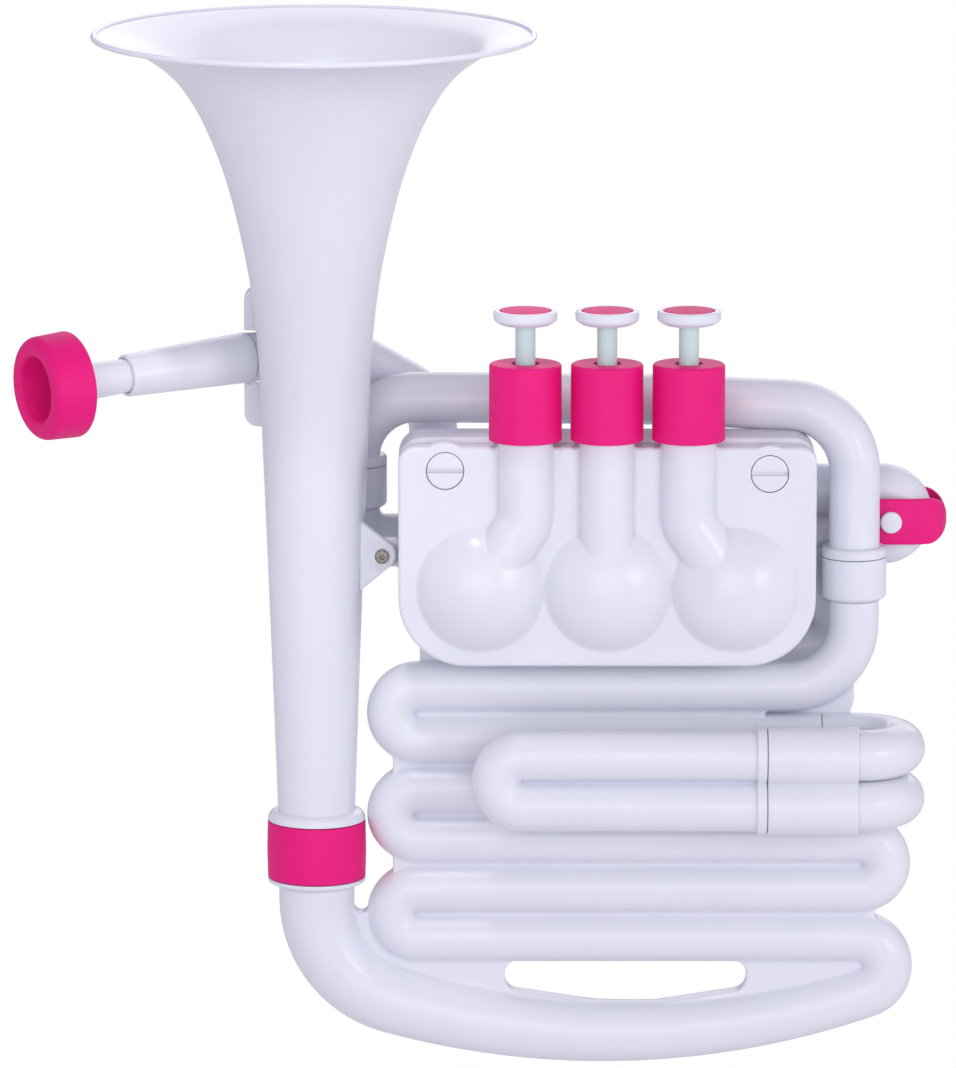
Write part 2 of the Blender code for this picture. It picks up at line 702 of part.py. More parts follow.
def make_main_tubing():
    """Six stacked rows, their bends, the webs, the hand grip and the bottom bow."""
    lower, radii = lower_path()
    upper = upper_path()
    body = tube("main_tubing", lower, TUBE_RADIUS, [radius / TUBE_RADIUS for radius in radii])
    upper_tube = tube("upper", upper, TUBE_RADIUS)

    reach = TUBE_RADIUS * 0.98
    left = LEFT_BEND_X - reach
    right = right_bend_x() + reach * 0.55
    middle = REAR_JOINT_X + 3 * MM
    stacked = [(left, row_z(0)), (right, row_z(0)), (right, row_z(2)), (middle, row_z(2))]
    stacked += [(middle, row_z(5)), (left, row_z(5))]
    row_web = plate("row_web", stacked, -ROW_WEB / 2, ROW_WEB / 2)

    bow, end, heel = bow_circles()
    edge = [(point.x, point.z) for point in bow_path()]
    heel_top = heel[1]
    grip = [point for point in edge if point[1] < heel_top + SEAM and point[0] < right]
    grip += [(LEFT_BEND_X - TUBE_RADIUS, heel_top), (LEFT_BEND_X - TUBE_RADIUS, row_z(0)), (right, row_z(0))]
    grip_web = plate("grip_web", grip, -GRIP_WEB / 2, GRIP_WEB / 2)
    half = GRIP_HEIGHT / 2
    slot_outline = rounded_box(-GRIP_LENGTH / 2, GRIP_LENGTH / 2, -half, half, GRIP_CORNER, GRIP_CORNER)
    slot = plate("slot", slot_outline, -GRIP_WEB, GRIP_WEB)
    cut(grip_web, slot)

    joint_end = REAR_JOINT_X + REAR_JOINT_LENGTH
    joints = [
        rod("joint", REAR_JOINT, (REAR_JOINT_X, 0, row_z(row)), (joint_end, 0, row_z(row)))
        for row in (3, 4)
    ]
    seam = CROOK_RIGHT_SEAM_Z
    crook_socket = socket_body("crook_socket", (RISER_X, 0, seam))
    foot = BELL_SEAT_Z - BELL_SOCKET_FOOT
    collar = BELL_SEAT_Z - BAND_HEIGHT - SEAM
    bell_profile = [(0, BELL_SEAT_Z), (BELL_SOCKET, BELL_SEAT_Z), (BELL_SOCKET, collar), (BAND_RADIUS, collar)]
    bell_profile += [(BAND_RADIUS, foot + EDGE_ROUND), (BAND_RADIUS - 2 * EDGE_ROUND, foot), (0, foot)]
    bell_socket = lathe("bell_socket", bell_profile, (BELL_X, 0, 0), steps=20, closed=False)
    join(body, upper_tube, row_web, grip_web, *joints, crook_socket, bell_socket)

    bore = TUBE_RADIUS - TUBE_WALL
    lower_bore = tube(
        "bore",
        lengthened(lower, 2 * MM),
        bore,
        [(radius - TUBE_WALL) / bore for radius in radii],
        BORE_RINGS,
    )
    upper_bore = tube("bore", lengthened(upper, 2 * MM), bore, None, BORE_RINGS)
    rear_bores = [
        drill(rear_socket(), (REAR_JOINT_X + 2 * MM, 0, row_z(row)), (joint_end + MM, 0, row_z(row)))
        for row in (3, 4)
    ]
    bell_floor = BELL_SEAT_Z - BELL_SPIGOT_LENGTH - SEAM
    bell_bore = drill(BELL_BORE, (BELL_X, 0, bell_floor), (BELL_X, 0, BELL_SEAT_Z + SEAM), 16)
    crook_bore = socket_bore((RISER_X, 0, seam))
    cut(body, lower_bore, upper_bore, *rear_bores, bell_bore, crook_bore)
    part("main_tubing", body, WHITE)


def rear_socket():
    """Bore radius of the two rear joints."""
    return REAR_JOINT - SLIDE_SOCKET_WALL


def socket_body(name, seam):
    """The outside of an upright socket for the crook, its mouth at the seam."""
    low = -CROOK_SOCKET_DEPTH
    profile = [(0, 0), (CROOK_SOCKET, 0), (CROOK_SOCKET, low + 2 * EDGE_ROUND), (CROOK_SOCKET - 2 * EDGE_ROUND, low)]
    return lathe(name, profile + [(0, low)], seam, closed=False)


def socket_bore(seam):
    """The cutter for the inside of a crook socket."""
    x, y, z = seam
    return drill(CROOK_BORE, (x, y, z - CROOK_SOCKET_DEPTH + SEAM), (x, y, z + SEAM))


def twin(name, radius, start, end, matrix):
    """Two bars along local +X, one above the other and fused where they overlap."""
    meet = math.acos(ROW_BEND / radius)
    half = math.pi / 2
    upper = arc((0, ROW_BEND), radius, meet - half, 3 * half - meet)
    lower = arc((0, -ROW_BEND), radius, half + meet, 5 * half - meet)
    pair = plate(name, upper + lower[1:-1], start, end)
    pair.matrix_world = matrix @ Matrix.Rotation(-half, 4, "Z") @ pair.matrix_world
    return pair


def make_return_elbows():
    """One moulding that carries two rows forward to the tuning slide's sockets."""
    joint_end = REAR_JOINT_X + REAR_JOINT_LENGTH + SEAM
    collar_end = joint_end + REAR_JOINT_COLLAR
    socket_start = MAIN_SLIDE_SEAM_X + SEAM
    socket_end = socket_start + MAIN_SOCKET_LENGTH
    turn = abs(MAIN_SLIDE_Y) / 2
    corner = max(collar_end, socket_end) + turn
    spigot = rear_socket() - SOCKET_CLEARANCE
    solids = []
    bores = []
    for row in (4, 3):
        z = row_z(row)
        corners = [(collar_end - MM, 0, z), (corner, 0, z), (corner, MAIN_SLIDE_Y, z), (socket_end - MM, MAIN_SLIDE_Y, z)]
        solids.append(tube("elbow", route(corners, [turn, turn]), TUBE_RADIUS))
        solids.append(rod("collar", REAR_JOINT, (joint_end, 0, z), (collar_end, 0, z)))
        solids.append(rod("spigot", spigot, (REAR_JOINT_X + 3 * MM, 0, z), (joint_end + MM, 0, z)))
        corners[0] = (REAR_JOINT_X, 0, z)
        corners[3] = (socket_end - 4 * MM, MAIN_SLIDE_Y, z)
        bores.append(tube("bore", route(corners, [turn, turn]), spigot - SLIDE_SOCKET_WALL, None, BORE_RINGS))
        bores.append(
            drill(SPIGOT_SOCKET, (socket_start - MM, MAIN_SLIDE_Y, z), (socket_end - 2 * MM, MAIN_SLIDE_Y, z))
        )
    pair_at = Matrix.Translation((0, MAIN_SLIDE_Y, (row_z(3) + row_z(4)) / 2))
    solids.insert(1, twin("socket", SLIDE_SOCKET, socket_start, socket_end, pair_at))
    join(solids[0], *solids[1:])
    cut(solids[0], *bores)
    part("return_elbows", solids[0], WHITE)


def make_u_slide(name, leg, spigot, matrix, sealed):
    """A U-shaped slide whose legs run along its own +X from the bow's centre, one above the other."""
    half = ROW_BEND
    corners = [(leg - MM, 0, half), (-half, 0, half), (-half, 0, -half), (leg - MM, 0, -half)]
    path = [Vector(point) for point in route(corners, [half, half])]
    body = tube(name, path, TUBE_RADIUS)
    web = plate("web", [(0, -half), (leg - MM, -half), (leg - MM, half), (0, half)], -SLIDE_WEB / 2, SLIDE_WEB / 2)
    collar = twin("collar", TUBE_RADIUS + SLIDE_COLLAR_STEP, leg - SLIDE_COLLAR, leg, Matrix.Identity(4))
    solids = [collar] if leg < SLIDE_COLLAR + 3 * MM else [web, collar]
    cutters = []
    corners[0] = (leg + spigot + MM, 0, half)
    corners[3] = (leg + spigot + MM, 0, -half)
    cutters.append(tube("bore", route(corners, [half, half]), SLIDE_BORE, None, BORE_RINGS))
    groove_x = leg + spigot - 4 * MM
    for z in (half, -half):
        solids.append(rod("spigot", SLIDE_SPIGOT_RADIUS, (leg - 2 * MM, 0, z), (leg + spigot, 0, z)))
        if sealed:
            cutters.append(seal_seat(SLIDE_SPIGOT_RADIUS, (groove_x, 0, z), (1, 0, 0)))
    join(body, *solids)
    cut(body, *cutters)
    part(name, body, WHITE)
    body.matrix_world = matrix
    if sealed:
        for side, z in (("upper", half), ("lower", -half)):
            ring = seal(name + "_seal_" + side, SLIDE_SPIGOT_RADIUS, (groove_x, 0, z), (1, 0, 0))
            ring.matrix_world = matrix @ ring.matrix_world
            carry(body, ring)


def make_slides():
    """The main tuning slide and the three valve slides."""
    middle = (row_z(3) + row_z(4)) / 2
    main = Matrix.Translation((MAIN_SLIDE_BOW_X, MAIN_SLIDE_Y, middle))
    make_u_slide("main_slide", MAIN_SLIDE_SEAM_X - MAIN_SLIDE_BOW_X, MAIN_SLIDE_SPIGOT, main, True)
    about = Matrix.Rotation(math.pi, 4, "Z")
    third = Matrix.Translation((THIRD_SLIDE_BOW_X, REAR_LAYER_Y, THIRD_SLIDE_Z)) @ about
    make_u_slide("third_slide", THIRD_SLIDE_BOW_X - THIRD_SLIDE_SEAM_X, VALVE_SLIDE_SPIGOT, third, False)
    first = Matrix.Translation((FIRST_SLIDE_BOW_X, REAR_LAYER_Y, FIRST_SLIDE_Z)) @ about
    make_u_slide("first_slide", FIRST_SLIDE_BOW_X - FIRST_SLIDE_SEAM_X, VALVE_SLIDE_SPIGOT, first, False)
    forward = Matrix.Rotation(-math.pi / 2, 4, "Z")
    second = Matrix.Translation((SECOND_SLIDE_X, SECOND_SLIDE_BOW_Y, THIRD_SLIDE_Z)) @ forward
    make_u_slide("second_slide", SECOND_SLIDE_BOW_Y - SECOND_SLIDE_SEAM_Y, VALVE_SLIDE_SPIGOT, second, False)


def make_crook():
    """The top crook, from the block's socket over the top and down to the riser."""
    left_tip = CROOK_LEFT_SEAM_Z - CROOK_SOCKET_DEPTH + 2 * SEAM
    right_tip = CROOK_RIGHT_SEAM_Z - CROOK_SOCKET_DEPTH + 2 * SEAM
    corners = [(CROOK_LEFT_X, CROOK_LEFT_Y, left_tip), (CROOK_LEFT_X, CROOK_LEFT_Y, CROOK_Z)]
    corners += [(RISER_X, 0, CROOK_Z), (RISER_X, 0, right_tip)]
    path = route(corners, [CROOK_BEND_LEFT, CROOK_BEND_RIGHT])
    body = tube("top_crook", path, TUBE_RADIUS)
    bore = tube("bore", lengthened(path, MM), TUBE_RADIUS - TUBE_WALL, None, BORE_RINGS)
    grooves = []
    for side, x, y, seam in (
        ("left", CROOK_LEFT_X, CROOK_LEFT_Y, CROOK_LEFT_SEAM_Z),
        ("right", RISER_X, 0, CROOK_RIGHT_SEAM_Z),
    ):
        low = SEAM
        high = CROOK_COLLAR
        profile = [(TUBE_RADIUS / 2, high), (CROOK_SOCKET - 2 * EDGE_ROUND, high), (CROOK_SOCKET, high - EDGE_ROUND)]
        profile += [(CROOK_SOCKET, low), (TUBE_RADIUS / 2, low)]
        join(body, lathe("collar", profile, (x, y, seam)))
        groove_z = seam - CROOK_SOCKET_DEPTH / 2
        grooves.append(seal_seat(TUBE_RADIUS, (x, y, groove_z), (0, 0, 1)))
        seal("crook_seal_" + side, TUBE_RADIUS, (x, y, groove_z))
    cut(body, bore, *grooves)
    part("top_crook", body, WHITE)


def make_leadpipe():
    """From the mouthpiece's receiver, behind the bell, down to the valve block."""
    sleeve_length = LEADPIPE_SLEEVE_END - LEADPIPE_START
    profile = [(0, sleeve_length), (LEADPIPE_SLEEVE_RADIUS, sleeve_length), (LEADPIPE_TIP_RADIUS, 0), (0, 0)]
    body = lathe("leadpipe", profile, mouth_point(LEADPIPE_START), MOUTH_AXIS, 16, closed=False)
    corners = [mouth_point(LEADPIPE_SLEEVE_END - 5 * MM), LEADPIPE_TURN, LEADPIPE_DROP]
    corners.append(Vector((LEADPIPE_DROP.x, LEADPIPE_DROP.y, LEADPIPE_TAIL_Z)))
    corners.append(Vector((LEADPIPE_DROP.x, HOUSING_BACK_Y + 3 * MM, LEADPIPE_TAIL_Z)))
    join(body, tube("pipe", route(corners, LEADPIPE_BENDS), TUBE_RADIUS))
    corners[0] = mouth_point(LEADPIPE_START + SHANK_DEPTH - 2 * MM)
    bore = tube("bore", lengthened(route(corners, LEADPIPE_BENDS), 2 * MM), SHANK_RADIUS - MM, None, BORE_RINGS)
    shank_end = mouth_point(LEADPIPE_START + SHANK_DEPTH + SEAM)
    receiver = drill(SHANK_RADIUS + SEAM, mouth_point(LEADPIPE_START - MM), shank_end)
    cut(body, bore, receiver)
    part("leadpipe", body, WHITE)


def make_mouthpiece():
    """White cup and shank, and the soft pink cover on its rim."""
    origin = mouth_point(0)
    lip = 3.0 * MM
    cup_outer = CUP_MOUTH_RADIUS + RIM_COVER_LINING + CUP_WALL
    shank_end = LEADPIPE_START + SHANK_DEPTH
    neck = CUP_DEPTH + 5 * MM
    profile = [(SHANK_BORE + MM, shank_end), (SHANK_RADIUS, shank_end), (SHANK_RADIUS, LEADPIPE_START)]
    profile += [(SHANK_RADIUS + 0.4 * MM, neck), (SHANK_RADIUS + 2.4 * MM, RIM_COVER_LENGTH + 2 * MM)]
    profile += [(cup_outer, RIM_COVER_LENGTH + MM), (cup_outer, lip + SEAM)]
    profile += [(CUP_MOUTH_RADIUS + RIM_COVER_LINING, lip + SEAM), (CUP_MOUTH_RADIUS + 0.8 * MM, lip + 7.4 * MM)]
    profile += [(CUP_MOUTH_RADIUS - 1.2 * MM, lip + 7.4 * MM), (CUP_MOUTH_RADIUS - 4 * MM, CUP_DEPTH - 5 * MM)]
    profile += [(SHANK_BORE, CUP_DEPTH)]
    cup = lathe("mouthpiece", profile, origin, MOUTH_AXIS, 16)
    part("mouthpiece", cup, WHITE)

    inner = cup_outer + SEAM
    back = RIM_COVER_LENGTH
    mouth = CUP_MOUTH_RADIUS
    cover_profile = [(inner, back), (RIM_COVER_RADIUS - 1.2 * MM, back), (RIM_COVER_RADIUS, back - 1.2 * MM)]
    cover_profile += [(RIM_COVER_RADIUS - 0.5 * MM, 3 * MM), (RIM_COVER_RADIUS - 2.4 * MM, 0.6 * MM)]
    cover_profile += [(RIM_COVER_RADIUS - 4 * MM, 0), (mouth + 1.6 * MM, 0), (mouth, 1.4 * MM)]
    cover_profile += [(mouth - 0.8 * MM, lip + 7 * MM), (mouth + 0.5 * MM, lip + 7 * MM), (mouth + RIM_COVER_LINING - SEAM, lip)]
    cover_profile += [(inner, lip)]
    cover = part("rim_cover", lathe("rim_cover", cover_profile, origin, MOUTH_AXIS, 16), PINK)
    carry(cup, cover)


def housing_outline(inset=0.0, top=COVER_TOP_Z):
    """The (x, z) outline that the valve cover and the valve block share."""
    corner = max(COVER_TOP_CORNER - inset, 2 * EDGE_ROUND)
    return rounded_box(
        COVER_LEFT_X + inset,
        COVER_RIGHT_X - inset,
        COVER_BOTTOM_Z + inset,
        top - (inset if top == COVER_TOP_Z else 0),
        COVER_LOW_CORNER - inset,
        corner,
    )


def dome_profile(offset, rings):
    """A shallow dome's profile about its axis, grown or shrunk by an offset."""
    radius = (DOME_BASE_RADIUS ** 2 + DOME_RISE ** 2) / (2 * DOME_RISE)
    depth = radius - DOME_RISE
    ball = radius + offset
    back = depth - COVER_DEPTH + 2 * MM
    turns = [math.acos(back / ball) * (1 - i / rings) for i in range(rings + 1)]
    rim = [(ball * math.sin(turn), ball * math.cos(turn) - depth) for turn in reversed(turns)]
    return rim + [(0, back - depth)]


def make_valve_cover():
    """Front cover with three domes, three plunger guides and three necks for the caps."""
    body = plate("valve_cover", housing_outline(), COVER_FACE_Y, HOUSING_FRONT_Y, EDGE_ROUND)
    solids = []
    cutters = []
    for valve_x, stem_x in zip(VALVE_X, STEM_X):
        at = (valve_x, COVER_FACE_Y, VALVE_Z)
        solids.append(lathe("dome", dome_profile(0, 4), at, (0, -1, 0), 16, closed=False))
        knee = [(stem_x, STEM_Y, COVER_TOP_Z + NECK_HEIGHT), (stem_x, STEM_Y, GUIDE_KNEE_Z)]
        knee.append((valve_x, STEM_Y, VALVE_Z))
        solids.append(tube("guide", knee, GUIDE_RADIUS))
    pocket = plate("pocket", housing_outline(COVER_WALL, POCKET_TOP_Z), COVER_FACE_Y + COVER_WALL, HOUSING_FRONT_Y + MM)
    cutters.append(pocket)
    trim = plate("trim", housing_outline(-30 * MM), HOUSING_FRONT_Y, HOUSING_FRONT_Y + 20 * MM)
    cutters.append(trim)
    for valve_x, stem_x in zip(VALVE_X, STEM_X):
        at = (valve_x, COVER_FACE_Y, VALVE_Z)
        cutters.append(lathe("dome", dome_profile(-DOME_WALL, 3), at, (0, -1, 0), 12, closed=False))
        top = COVER_TOP_Z + NECK_HEIGHT
        low = STEM_FOOT_LOW_Z - PLUNGER_TRAVEL - MM
        cutters.append(drill(SPRING_BORE, (stem_x, STEM_Y, SPRING_SEAT_Z), (stem_x, STEM_Y, top + MM)))
        cutters.append(drill(STEM_RADIUS + BEARING_GAP, (stem_x, STEM_Y, low), (stem_x, STEM_Y, top)))
    for x, z in SCREW_SPOTS:
        face = COVER_FACE_Y - MM
        cutters.append(drill(SCREW_HEAD_RADIUS + SEAM, (x, face, z), (x, COVER_FACE_Y + SCREW_HEAD_DEPTH + SEAM, z)))
        cutters.append(drill(SCREW_SHANK_RADIUS + SEAM, (x, face, z), (x, HOUSING_FRONT_Y + MM, z)))
    join(body, *solids)
    cut(body, *cutters)
    part("valve_cover", body, WHITE)


def port_path(start, bend_x, bend_y, z, end_x):
    """A port that leaves the block's back and turns along its back."""
    corners = [(bend_x, start, z), (bend_x, bend_y, z), (end_x, bend_y, z)]
    return route(corners, [PORT_BEND])


def make_valve_block():
    """Rear housing with the rotors' pockets, the slides' sockets and the crook's socket."""
    front = HOUSING_FRONT_Y + SEAM
    back = HOUSING_BACK_Y
    body = plate("valve_block", housing_outline(), front, back, EDGE_ROUND)
    inside = back - 3 * MM
    solids = []
    cutters = []
    socket_inner = THIRD_SLIDE_SEAM_X - VALVE_SOCKET_LENGTH
    first_inner = FIRST_SLIDE_SEAM_X - VALVE_SOCKET_LENGTH
    along = Matrix.Translation((0, REAR_LAYER_Y, THIRD_SLIDE_Z))
    solids.append(twin("socket", SLIDE_SOCKET, socket_inner, THIRD_SLIDE_SEAM_X - SEAM, along))
    along = Matrix.Translation((0, REAR_LAYER_Y, FIRST_SLIDE_Z))
    solids.append(twin("socket", SLIDE_SOCKET, first_inner, FIRST_SLIDE_SEAM_X - SEAM, along))
    back_ways = Matrix.Translation((SECOND_SLIDE_X, 0, THIRD_SLIDE_Z)) @ Matrix.Rotation(math.pi / 2, 4, "Z")
    solids.append(twin("socket", SLIDE_SOCKET, inside, SECOND_SLIDE_SEAM_Y - SEAM, back_ways))
    for z in (THIRD_SLIDE_Z + ROW_BEND, THIRD_SLIDE_Z - ROW_BEND):
        port_x = socket_inner - PORT_BEND - 4 * MM
        solids.append(tube("port", port_path(inside, port_x, REAR_LAYER_Y, z, socket_inner + MM), TUBE_RADIUS, None, PORT_RINGS))
        seam_end = (THIRD_SLIDE_SEAM_X + MM, REAR_LAYER_Y, z)
        cutters.append(drill(SPIGOT_SOCKET, (socket_inner + 2 * MM, REAR_LAYER_Y, z), seam_end))
        low = SECOND_SLIDE_SEAM_Y - VALVE_SOCKET_LENGTH + 2 * MM
        seam_end = (SECOND_SLIDE_X, SECOND_SLIDE_SEAM_Y + MM, z)
        cutters.append(drill(SPIGOT_SOCKET, (SECOND_SLIDE_X, low, z), seam_end))
    for z in (FIRST_SLIDE_Z + ROW_BEND, FIRST_SLIDE_Z - ROW_BEND):
        start = REAR_LAYER_Y - PORT_BEND
        solids.append(tube("port", port_path(start, VALVE_X[0], REAR_LAYER_Y, z, first_inner + MM), TUBE_RADIUS, None, PORT_RINGS))
        seam_end = (FIRST_SLIDE_SEAM_X + MM, REAR_LAYER_Y, z)
        cutters.append(drill(SPIGOT_SOCKET, (first_inner + 2 * MM, REAR_LAYER_Y, z), seam_end))
    boss_left = VALVE_X[0] - 12 * MM
    boss_right = VALVE_X[0] + 12 * MM
    boss_top = FIRST_SLIDE_Z + ROW_BEND + TUBE_RADIUS + MM
    boss_back = REAR_LAYER_Y - 4 * MM
    row_top = row_z(5) + TUBE_RADIUS
    boss_outline = rounded_box(boss_left, boss_right, row_top + 0.8 * MM, boss_top, 4 * MM, 4 * MM)
    solids.append(plate("boss", boss_outline, inside, boss_back))
    foot_z = FIRST_SLIDE_Z - ROW_BEND - TUBE_RADIUS - MM
    foot_outline = rounded_box(boss_left - MM, boss_right + MM, foot_z, FIRST_SLIDE_Z, 4 * MM, 4 * MM)
    solids.append(plate("foot", foot_outline, TUBE_RADIUS + 1.2 * MM, boss_back + MM))

    seam = (CROOK_LEFT_X, CROOK_LEFT_Y, CROOK_LEFT_SEAM_Z)
    arm_z = CROOK_LEFT_SEAM_Z - CROOK_SOCKET_DEPTH - PORT_BEND
    arm_x = COVER_LEFT_X + TUBE_RADIUS + EDGE_ROUND
    corners = [(CROOK_LEFT_X, CROOK_LEFT_Y, arm_z + PORT_BEND + MM), (CROOK_LEFT_X, CROOK_LEFT_Y, arm_z)]
    corners += [(arm_x, CROOK_LEFT_Y, arm_z), (arm_x, inside, arm_z)]
    solids.append(tube("arm", route(corners, [PORT_BEND - MM, PORT_BEND - MM]), TUBE_RADIUS, None, PORT_RINGS))
    solids.append(socket_body("crook_socket", seam))
    cutters.append(socket_bore(seam))

    pipe_seam = back + 12 * MM
    tail_x = LEADPIPE_DROP.x
    solids.append(rod("socket", CROOK_SOCKET, (tail_x, inside, LEADPIPE_TAIL_Z), (tail_x, pipe_seam, LEADPIPE_TAIL_Z)))
    cutters.append(
        drill(CROOK_BORE, (tail_x, back + MM, LEADPIPE_TAIL_Z), (tail_x, pipe_seam + MM, LEADPIPE_TAIL_Z))
    )

    lug_back = TAB_BACK_Y + SEAM + TAB_THICKNESS
    lug_outline = arc((BELL_SCREW_X, BELL_SCREW_Z), BOSS_RADIUS, math.radians(90), math.radians(270))
    lug_outline += [(COVER_LEFT_X + COVER_WALL, BELL_SCREW_Z - BOSS_RADIUS)]
    lug_outline += [(COVER_LEFT_X + COVER_WALL, BELL_SCREW_Z + BOSS_RADIUS)]
    solids.append(plate("lug", lug_outline, TAB_BACK_Y + SEAM, lug_back))
    cutters.append(
        drill(STUD_SHANK + SEAM, (BELL_SCREW_X, TAB_BACK_Y, BELL_SCREW_Z), (BELL_SCREW_X, lug_back - MM, BELL_SCREW_Z), 12)
    )
    for x in VALVE_X:
        cutters.append(rotor_pocket(x))
        cutters.append(drill(TRUNNION_RADIUS + BEARING_GAP, (x, 0, VALVE_Z), (x, ROTOR_BACK_Y + 2.6 * MM, VALVE_Z), 12))
    for x, z in SCREW_SPOTS:
        tip = COVER_FACE_Y + SCREW_LENGTH + SEAM
        cutters.append(drill(SCREW_SHANK_RADIUS + SEAM, (x, front - MM, z), (x, tip, z), 16))
    join(body, *solids)
    cut(body, *cutters)
    part("valve_block", body, WHITE)


def rotor_profile():
    """The truncated ball's profile about +Y: from the back rim, over the belly, to the front."""
    back = ROTOR_BACK_Y - ROTOR_Y
    front = ROTOR_FRONT_Y - ROTOR_Y
    ball = ROTOR_RADIUS
    steps = 4
    heights = [back + (front - back) * i / steps for i in range(steps + 1)]
    return [(math.sqrt(ball ** 2 - height ** 2), height) for height in heights]


def rotor_pocket(x):
    """The cutter for a rotor's pocket, open to the front."""
    top = ROTOR_BACK_Y - ROTOR_Y + SEAM
    widest = (ROTOR_RADIUS + BEARING_GAP) / math.cos(math.pi / ROTOR_STEPS)
    mouth = HOUSING_FRONT_Y - ROTOR_Y - MM
    profile = [(0, top), (widest, top), (widest, mouth), (0, mouth)]
    return lathe("pocket", profile, (x, ROTOR_Y, VALVE_Z), (0, 1, 0), ROTOR_STEPS, closed=False)


def gear_outline():
    """The gear's (x, z) outline with tapered teeth, a tooth pointing along +X."""
    root = GEAR_PITCH_RADIUS - TOOTH_DEDENDUM
    tip = GEAR_PITCH_RADIUS + TOOTH_ADDENDUM
    pitch = 2 * math.pi / GEAR_TEETH
    outline = []
    for tooth in range(GEAR_TEETH):
        for share, radius in ((-0.27, root), (-0.12, tip), (0.12, tip), (0.27, root)):
            turn = (tooth + share) * pitch
            outline.append((radius * math.cos(turn), radius * math.sin(turn)))
    return outline


def rack_side(index):
    """Which side of its rotor a plunger's rack runs on: +1 is the right."""
    return 1 if STEM_X[index] > VALVE_X[index] else -1


def make_rotor(index):
    """Truncated ball with two passages, its trunnions and the small gear on its front."""
    x = VALVE_X[index]
    name = "valve_rotor_%d" % (index + 1)
    profile = rotor_profile()
    outline = [(0, profile[0][1])] + profile + [(0, profile[-1][1])]
    body = lathe(name, outline, (x, ROTOR_Y, VALVE_Z), (0, 1, 0), ROTOR_STEPS, closed=False)
    gear = plate("gear", gear_outline(), GEAR_FRONT_Y, ROTOR_FRONT_Y + MM)
    gear.matrix_world = Matrix.Translation((x, 0, VALVE_Z)) @ gear.matrix_world
    front_tip = GEAR_FRONT_Y - 6 * MM
    front_pin = rod("pin", TRUNNION_RADIUS, (x, front_tip, VALVE_Z), (x, ROTOR_FRONT_Y, VALVE_Z), 12)
    back_pin = rod("pin", TRUNNION_RADIUS, (x, ROTOR_Y, VALVE_Z), (x, ROTOR_BACK_Y + 2.2 * MM, VALVE_Z), 12)
    join(body, gear, front_pin, back_pin)
    offset = ROTOR_PASSAGE + 2.4 * MM
    for shift in (-offset, offset):
        start = (x - 2 * ROTOR_RADIUS, ROTOR_Y, VALVE_Z + shift)
        end = (x + 2 * ROTOR_RADIUS, ROTOR_Y, VALVE_Z + shift)
        cut(body, rod("passage", ROTOR_PASSAGE, start, end, 8))
    return part(name, body, WHITE)


def make_plunger(index):
    """Stem with its rack, the button, its soft pad and the return spring."""
    x = STEM_X[index]
    side = rack_side(index)
    number = index + 1
    pitch_x = VALVE_X[index] + side * GEAR_PITCH_RADIUS
    button_low = BUTTON_TOP_Z - BUTTON_THICKNESS
    foot_top = STEM_FOOT_HIGH_Z
    foot_low = STEM_FOOT_LOW_Z
    stem = rod("stem", STEM_RADIUS, (x, STEM_Y, foot_low), (x, STEM_Y, button_low + MM), 12)
    spring_top = CAP_TOP_Z - CAP_CEILING - STEM_COLLAR_HEIGHT - 2 * SEAM
    collar_top = spring_top + STEM_COLLAR_HEIGHT
    solids = [rod("collar", SPRING_RADIUS + SPRING_WIRE, (x, STEM_Y, spring_top), (x, STEM_Y, collar_top), 12)]
    solids.append(rack_plate(pitch_x, side, foot_low))
    foot_back = ROTOR_FRONT_Y - SEAM
    foot = rounded_box(
        min(x - STEM_RADIUS, pitch_x - RACK_BACK),
        max(x + STEM_RADIUS, pitch_x + RACK_BACK),
        foot_low,
        foot_top,
        MM,
        MM,
    )
    solids.append(plate("foot", foot, GEAR_FRONT_Y + SEAM, foot_back))
    join(stem, *solids)
    part("valve_stem_%d" % number, stem, MINT)

    low = button_low
    profile = [
        (0, low + BUTTON_THICKNESS - PAD_THICKNESS),
        (PAD_RADIUS + SEAM, low + BUTTON_THICKNESS - PAD_THICKNESS),
        (PAD_RADIUS + SEAM, low + BUTTON_THICKNESS),
        (BUTTON_RADIUS - MM, low + BUTTON_THICKNESS),
        (BUTTON_RADIUS, low + BUTTON_THICKNESS - MM),
        (BUTTON_RADIUS - 1.4 * MM, low),
        (STEM_RADIUS + 1.5 * SEAM, low),
        (STEM_RADIUS + 1.5 * SEAM, low + MM + SEAM),
        (0, low + MM + SEAM),
    ]
    button = lathe("button", profile, (x, STEM_Y, 0), steps=14, closed=False)
    button = part("button_top_%d" % number, button, WHITE)
    pad_low = BUTTON_TOP_Z - PAD_THICKNESS + SEAM
    pad = rod("pad", PAD_RADIUS, (x, STEM_Y, pad_low), (x, STEM_Y, BUTTON_TOP_Z + SEAM), 14)
    pad = part("button_pad_%d" % number, pad, PINK)
    spring = make_spring(number, x, spring_top)
    carry(stem, button, pad, spring)


def rack_plate(pitch_x, side, top):
    """The rack: a bar with tapered teeth that meet the gear at the valve's height."""
    root = pitch_x + side * TOOTH_DEDENDUM
    tip = pitch_x - side * TOOTH_ADDENDUM
    heel = pitch_x + side * RACK_BACK
    first = VALVE_Z - 0.5 * TOOTH_PITCH
    outline = [(heel, top + MM), (heel, first - TOOTH_PITCH)]
    for tooth in range(RACK_TEETH):
        middle = first + tooth * TOOTH_PITCH
        for share, x in ((-0.27, root), (-0.12, tip), (0.12, tip), (0.27, root)):
            outline.append((x, middle + share * TOOTH_PITCH))
    outline.append((root, top + MM))
    if side < 0:
        outline.reverse()
    return plate("rack", outline, GEAR_FRONT_Y + SEAM, ROTOR_FRONT_Y - SEAM)


